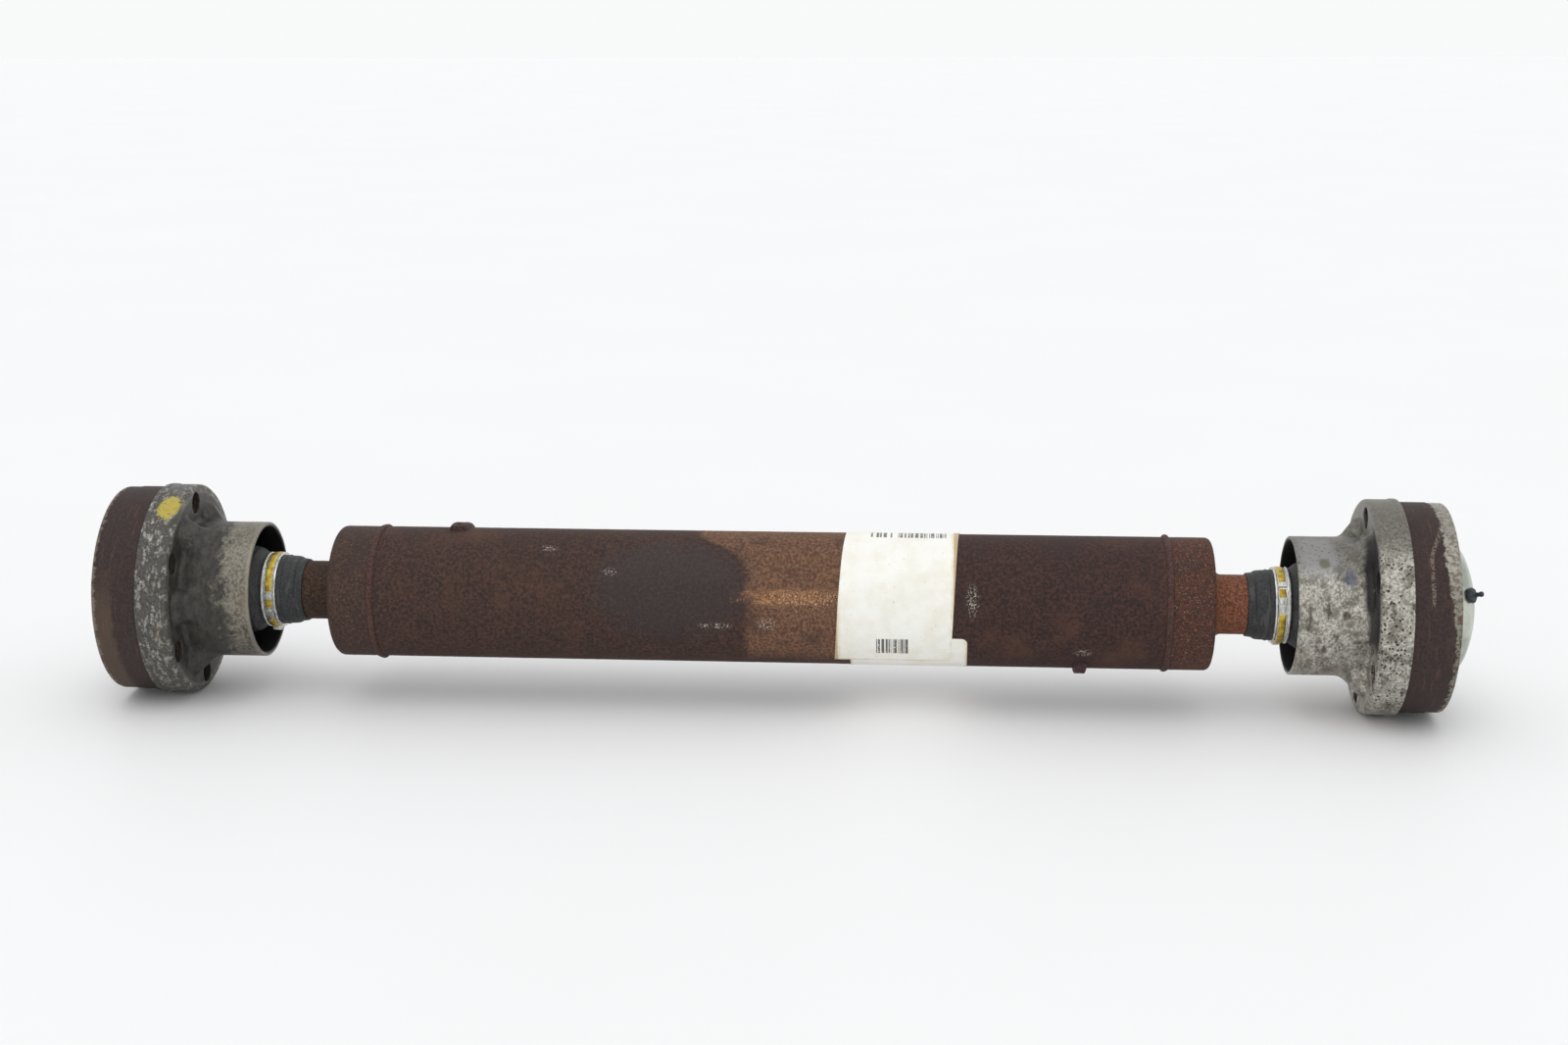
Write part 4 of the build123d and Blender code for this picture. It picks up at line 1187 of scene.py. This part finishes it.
def make_clamp(name, side, steel, gold):
    """Band clamp: a band with rolled rims, a gold tongue in lengths, and bright bridges between them."""
    corners = [
        (CLAMP_START, CLAMP_SEAT_R), (CLAMP_START, 18.25, 0.25), (CLAMP_START + 0.9, 18.3, 0.3),
        (CLAMP_START + 1.3, 17.9, 0.2), (CLAMP_STOP - 1.3, 17.9, 0.2), (CLAMP_STOP - 0.9, 18.3, 0.3),
        (CLAMP_STOP, 18.25, 0.25), (CLAMP_STOP, CLAMP_SEAT_R),
    ]
    band = turned(f"{name}_clamp_band", side, outline(corners, step=0.8, arc_step=0.15), 240)
    dress(band, steel, sharp=40)
    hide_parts(f"{name}_boot_clamp")
    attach(band, "shaft")
    windows = [FIRST_WINDOWS[name] + turn for turn in WINDOW_TURNS]
    bridge_span = (TONGUE_START - 0.5, TONGUE_STOP + 0.5)
    for k, (low, high) in enumerate(zip(windows, windows[1:])):
        length = wrapped_plate(f"{name}_clamp_tongue_{k + 1}", side, (TONGUE_START, TONGUE_STOP),
                               (low + WINDOW, high), TONGUE_R, 0.6, 0.4, 14, 60)
        dress(length, gold, sharp=60)
        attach(length, "shaft")
        arc = (low + BRIDGE_GAP, low + WINDOW - BRIDGE_GAP)
        bridge = wrapped_plate(f"{name}_clamp_bridge_{k + 1}", side, bridge_span, arc,
                               TONGUE_R, 0.75, 0.35, 14, 16)
        dress(bridge, steel, sharp=60)
        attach(bridge, "shaft")
    make_ear(name, side, steel)


def dress_node(node, material):
    """Give a CAD node that stays on show its material."""
    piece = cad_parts[node]
    piece.data.materials.clear()
    piece.data.materials.append(material)


# Floor, light and camera

SURROUND_STRENGTH = 0.975
LAMP_STRENGTH = 0.38
LAMP_ANGLE = 45.0
LAMP_WAY = (0.1, 0.4, -1.0)


def make_floor(material):
    """Wide plain floor under the shaft's lowest point."""
    level = cad_box[0].z
    size = 30.0
    cells = 24
    steps = np.linspace(-size / 2, size / 2, cells + 1)
    points = [(x, y, level) for y in steps for x in steps]
    mesh = bpy.data.meshes.new("floor")
    mesh.from_pydata(points, [], grid_faces(cells + 1, cells + 1, False, False))
    mesh.materials.append(material)
    floor = bpy.data.objects.new("floor", mesh)
    bpy.context.scene.collection.objects.link(floor)


def make_light():
    """Plain soft studio light: an even pale surround and one wide soft lamp overhead in front."""
    world = bpy.data.worlds.new("surround")
    world.use_nodes = True
    world.node_tree.nodes["Background"].inputs["Color"].default_value = (0.97, 0.975, 0.98, 1.0)
    world.node_tree.nodes["Background"].inputs["Strength"].default_value = SURROUND_STRENGTH
    bpy.context.scene.world = world
    light = bpy.data.lights.new("overhead", "SUN")
    light.angle = radians(LAMP_ANGLE)
    light.energy = LAMP_STRENGTH
    lamp = bpy.data.objects.new("overhead", light)
    lamp.rotation_euler = Vector(LAMP_WAY).to_track_quat("-Z", "Y").to_euler()
    bpy.context.scene.collection.objects.link(lamp)


CAMERA_PLACE = (0.08239, -1.01107, 0.27694)
CAMERA_TURN = 0.0744
CAMERA_TILT = -0.2322
CAMERA_ROLL = 0.0035
CAMERA_LENS = 49.68


def make_camera():
    """Camera in front of the shaft, a little to its right and above it."""
    lens = bpy.data.cameras.new("camera")
    lens.lens = CAMERA_LENS
    lens.sensor_width = 36.0
    camera = bpy.data.objects.new("camera", lens)
    turn = (Matrix.Rotation(CAMERA_TURN, 4, "Z") @ Matrix.Rotation(CAMERA_TILT, 4, "X")
            @ Matrix.Rotation(CAMERA_ROLL, 4, "Y") @ Matrix.Rotation(pi / 2, 4, "X"))
    camera.matrix_world = Matrix.Translation(CAMERA_PLACE) @ turn
    bpy.context.scene.collection.objects.link(camera)
    bpy.context.scene.camera = camera
    bpy.context.scene.view_settings.view_transform = "Standard"


make_camera()
make_light()
make_floor(floor_paint())

weld = weld_metal()
weight = weight_steel()
rubber = boot_rubber()
plug = plug_rubber()
cap = cap_zinc()
steel = clamp_steel()
gold = clamp_gold()
balls = greased_steel("ball_steel", (70, 62, 48), (188, 186, 180), 0.12)
cage = greased_steel("cage_steel", (40, 36, 30), (104, 98, 86), 0.3)
spring = greased_steel("spring_steel", (48, 44, 38), (120, 116, 108), 0.25)
gasket = gasket_fibre()

make_tube(rusty_tube())
make_weight("left", (-155.7, -147.4), (84.0, 123.0), (0.2, 0.5, 0.8), weight)
make_weight("right", (146.4, 152.5), (-90.0, -50.0), (0.2, 0.5, 0.8), weight)
make_label("lower_paper", "lower_label", (40.0, 95.6), (-110.0, -20.0), 0.02, (0.0, 0.0, 0.0), 3.0, 1,
           label_paper("lower_paper", (40.0, 95.6), (-110.0, -20.0), ()))
make_label("upper_paper", "upper_label", (32.6, 90.0), (-50.0, 150.0), 0.2, (6.3, -2.5, 2.5), 1.2, 0,
           label_paper("upper_paper", (34.0, 89.0), (-50.0, 150.0),
                       ((52.6, 67.9, -38.0, -21.0, 0.33), (49.0, 85.0, 81.0, 96.0, 0.42))))
for name, side in SIDES.items():
    make_weld(name, side, weld)
    make_stub(name, side, forged_stub(name, side))
    make_race(name, side, race_rust(name, side))
    make_can(name, side, pitted_can() if side > 0 else greasy_can())
    make_cap(name, side, cap)
    make_plug(name, side, plug)
    make_boot(name, side, rubber)
    make_clamp(name, side, steel, gold)
    for node, material in (("inner_race", cage), ("cage", cage), ("side_balls", balls),
                           ("cage_balls", balls), ("circlip", spring), ("gasket", gasket)):
        dress_node(f"{name}_{node}", material)
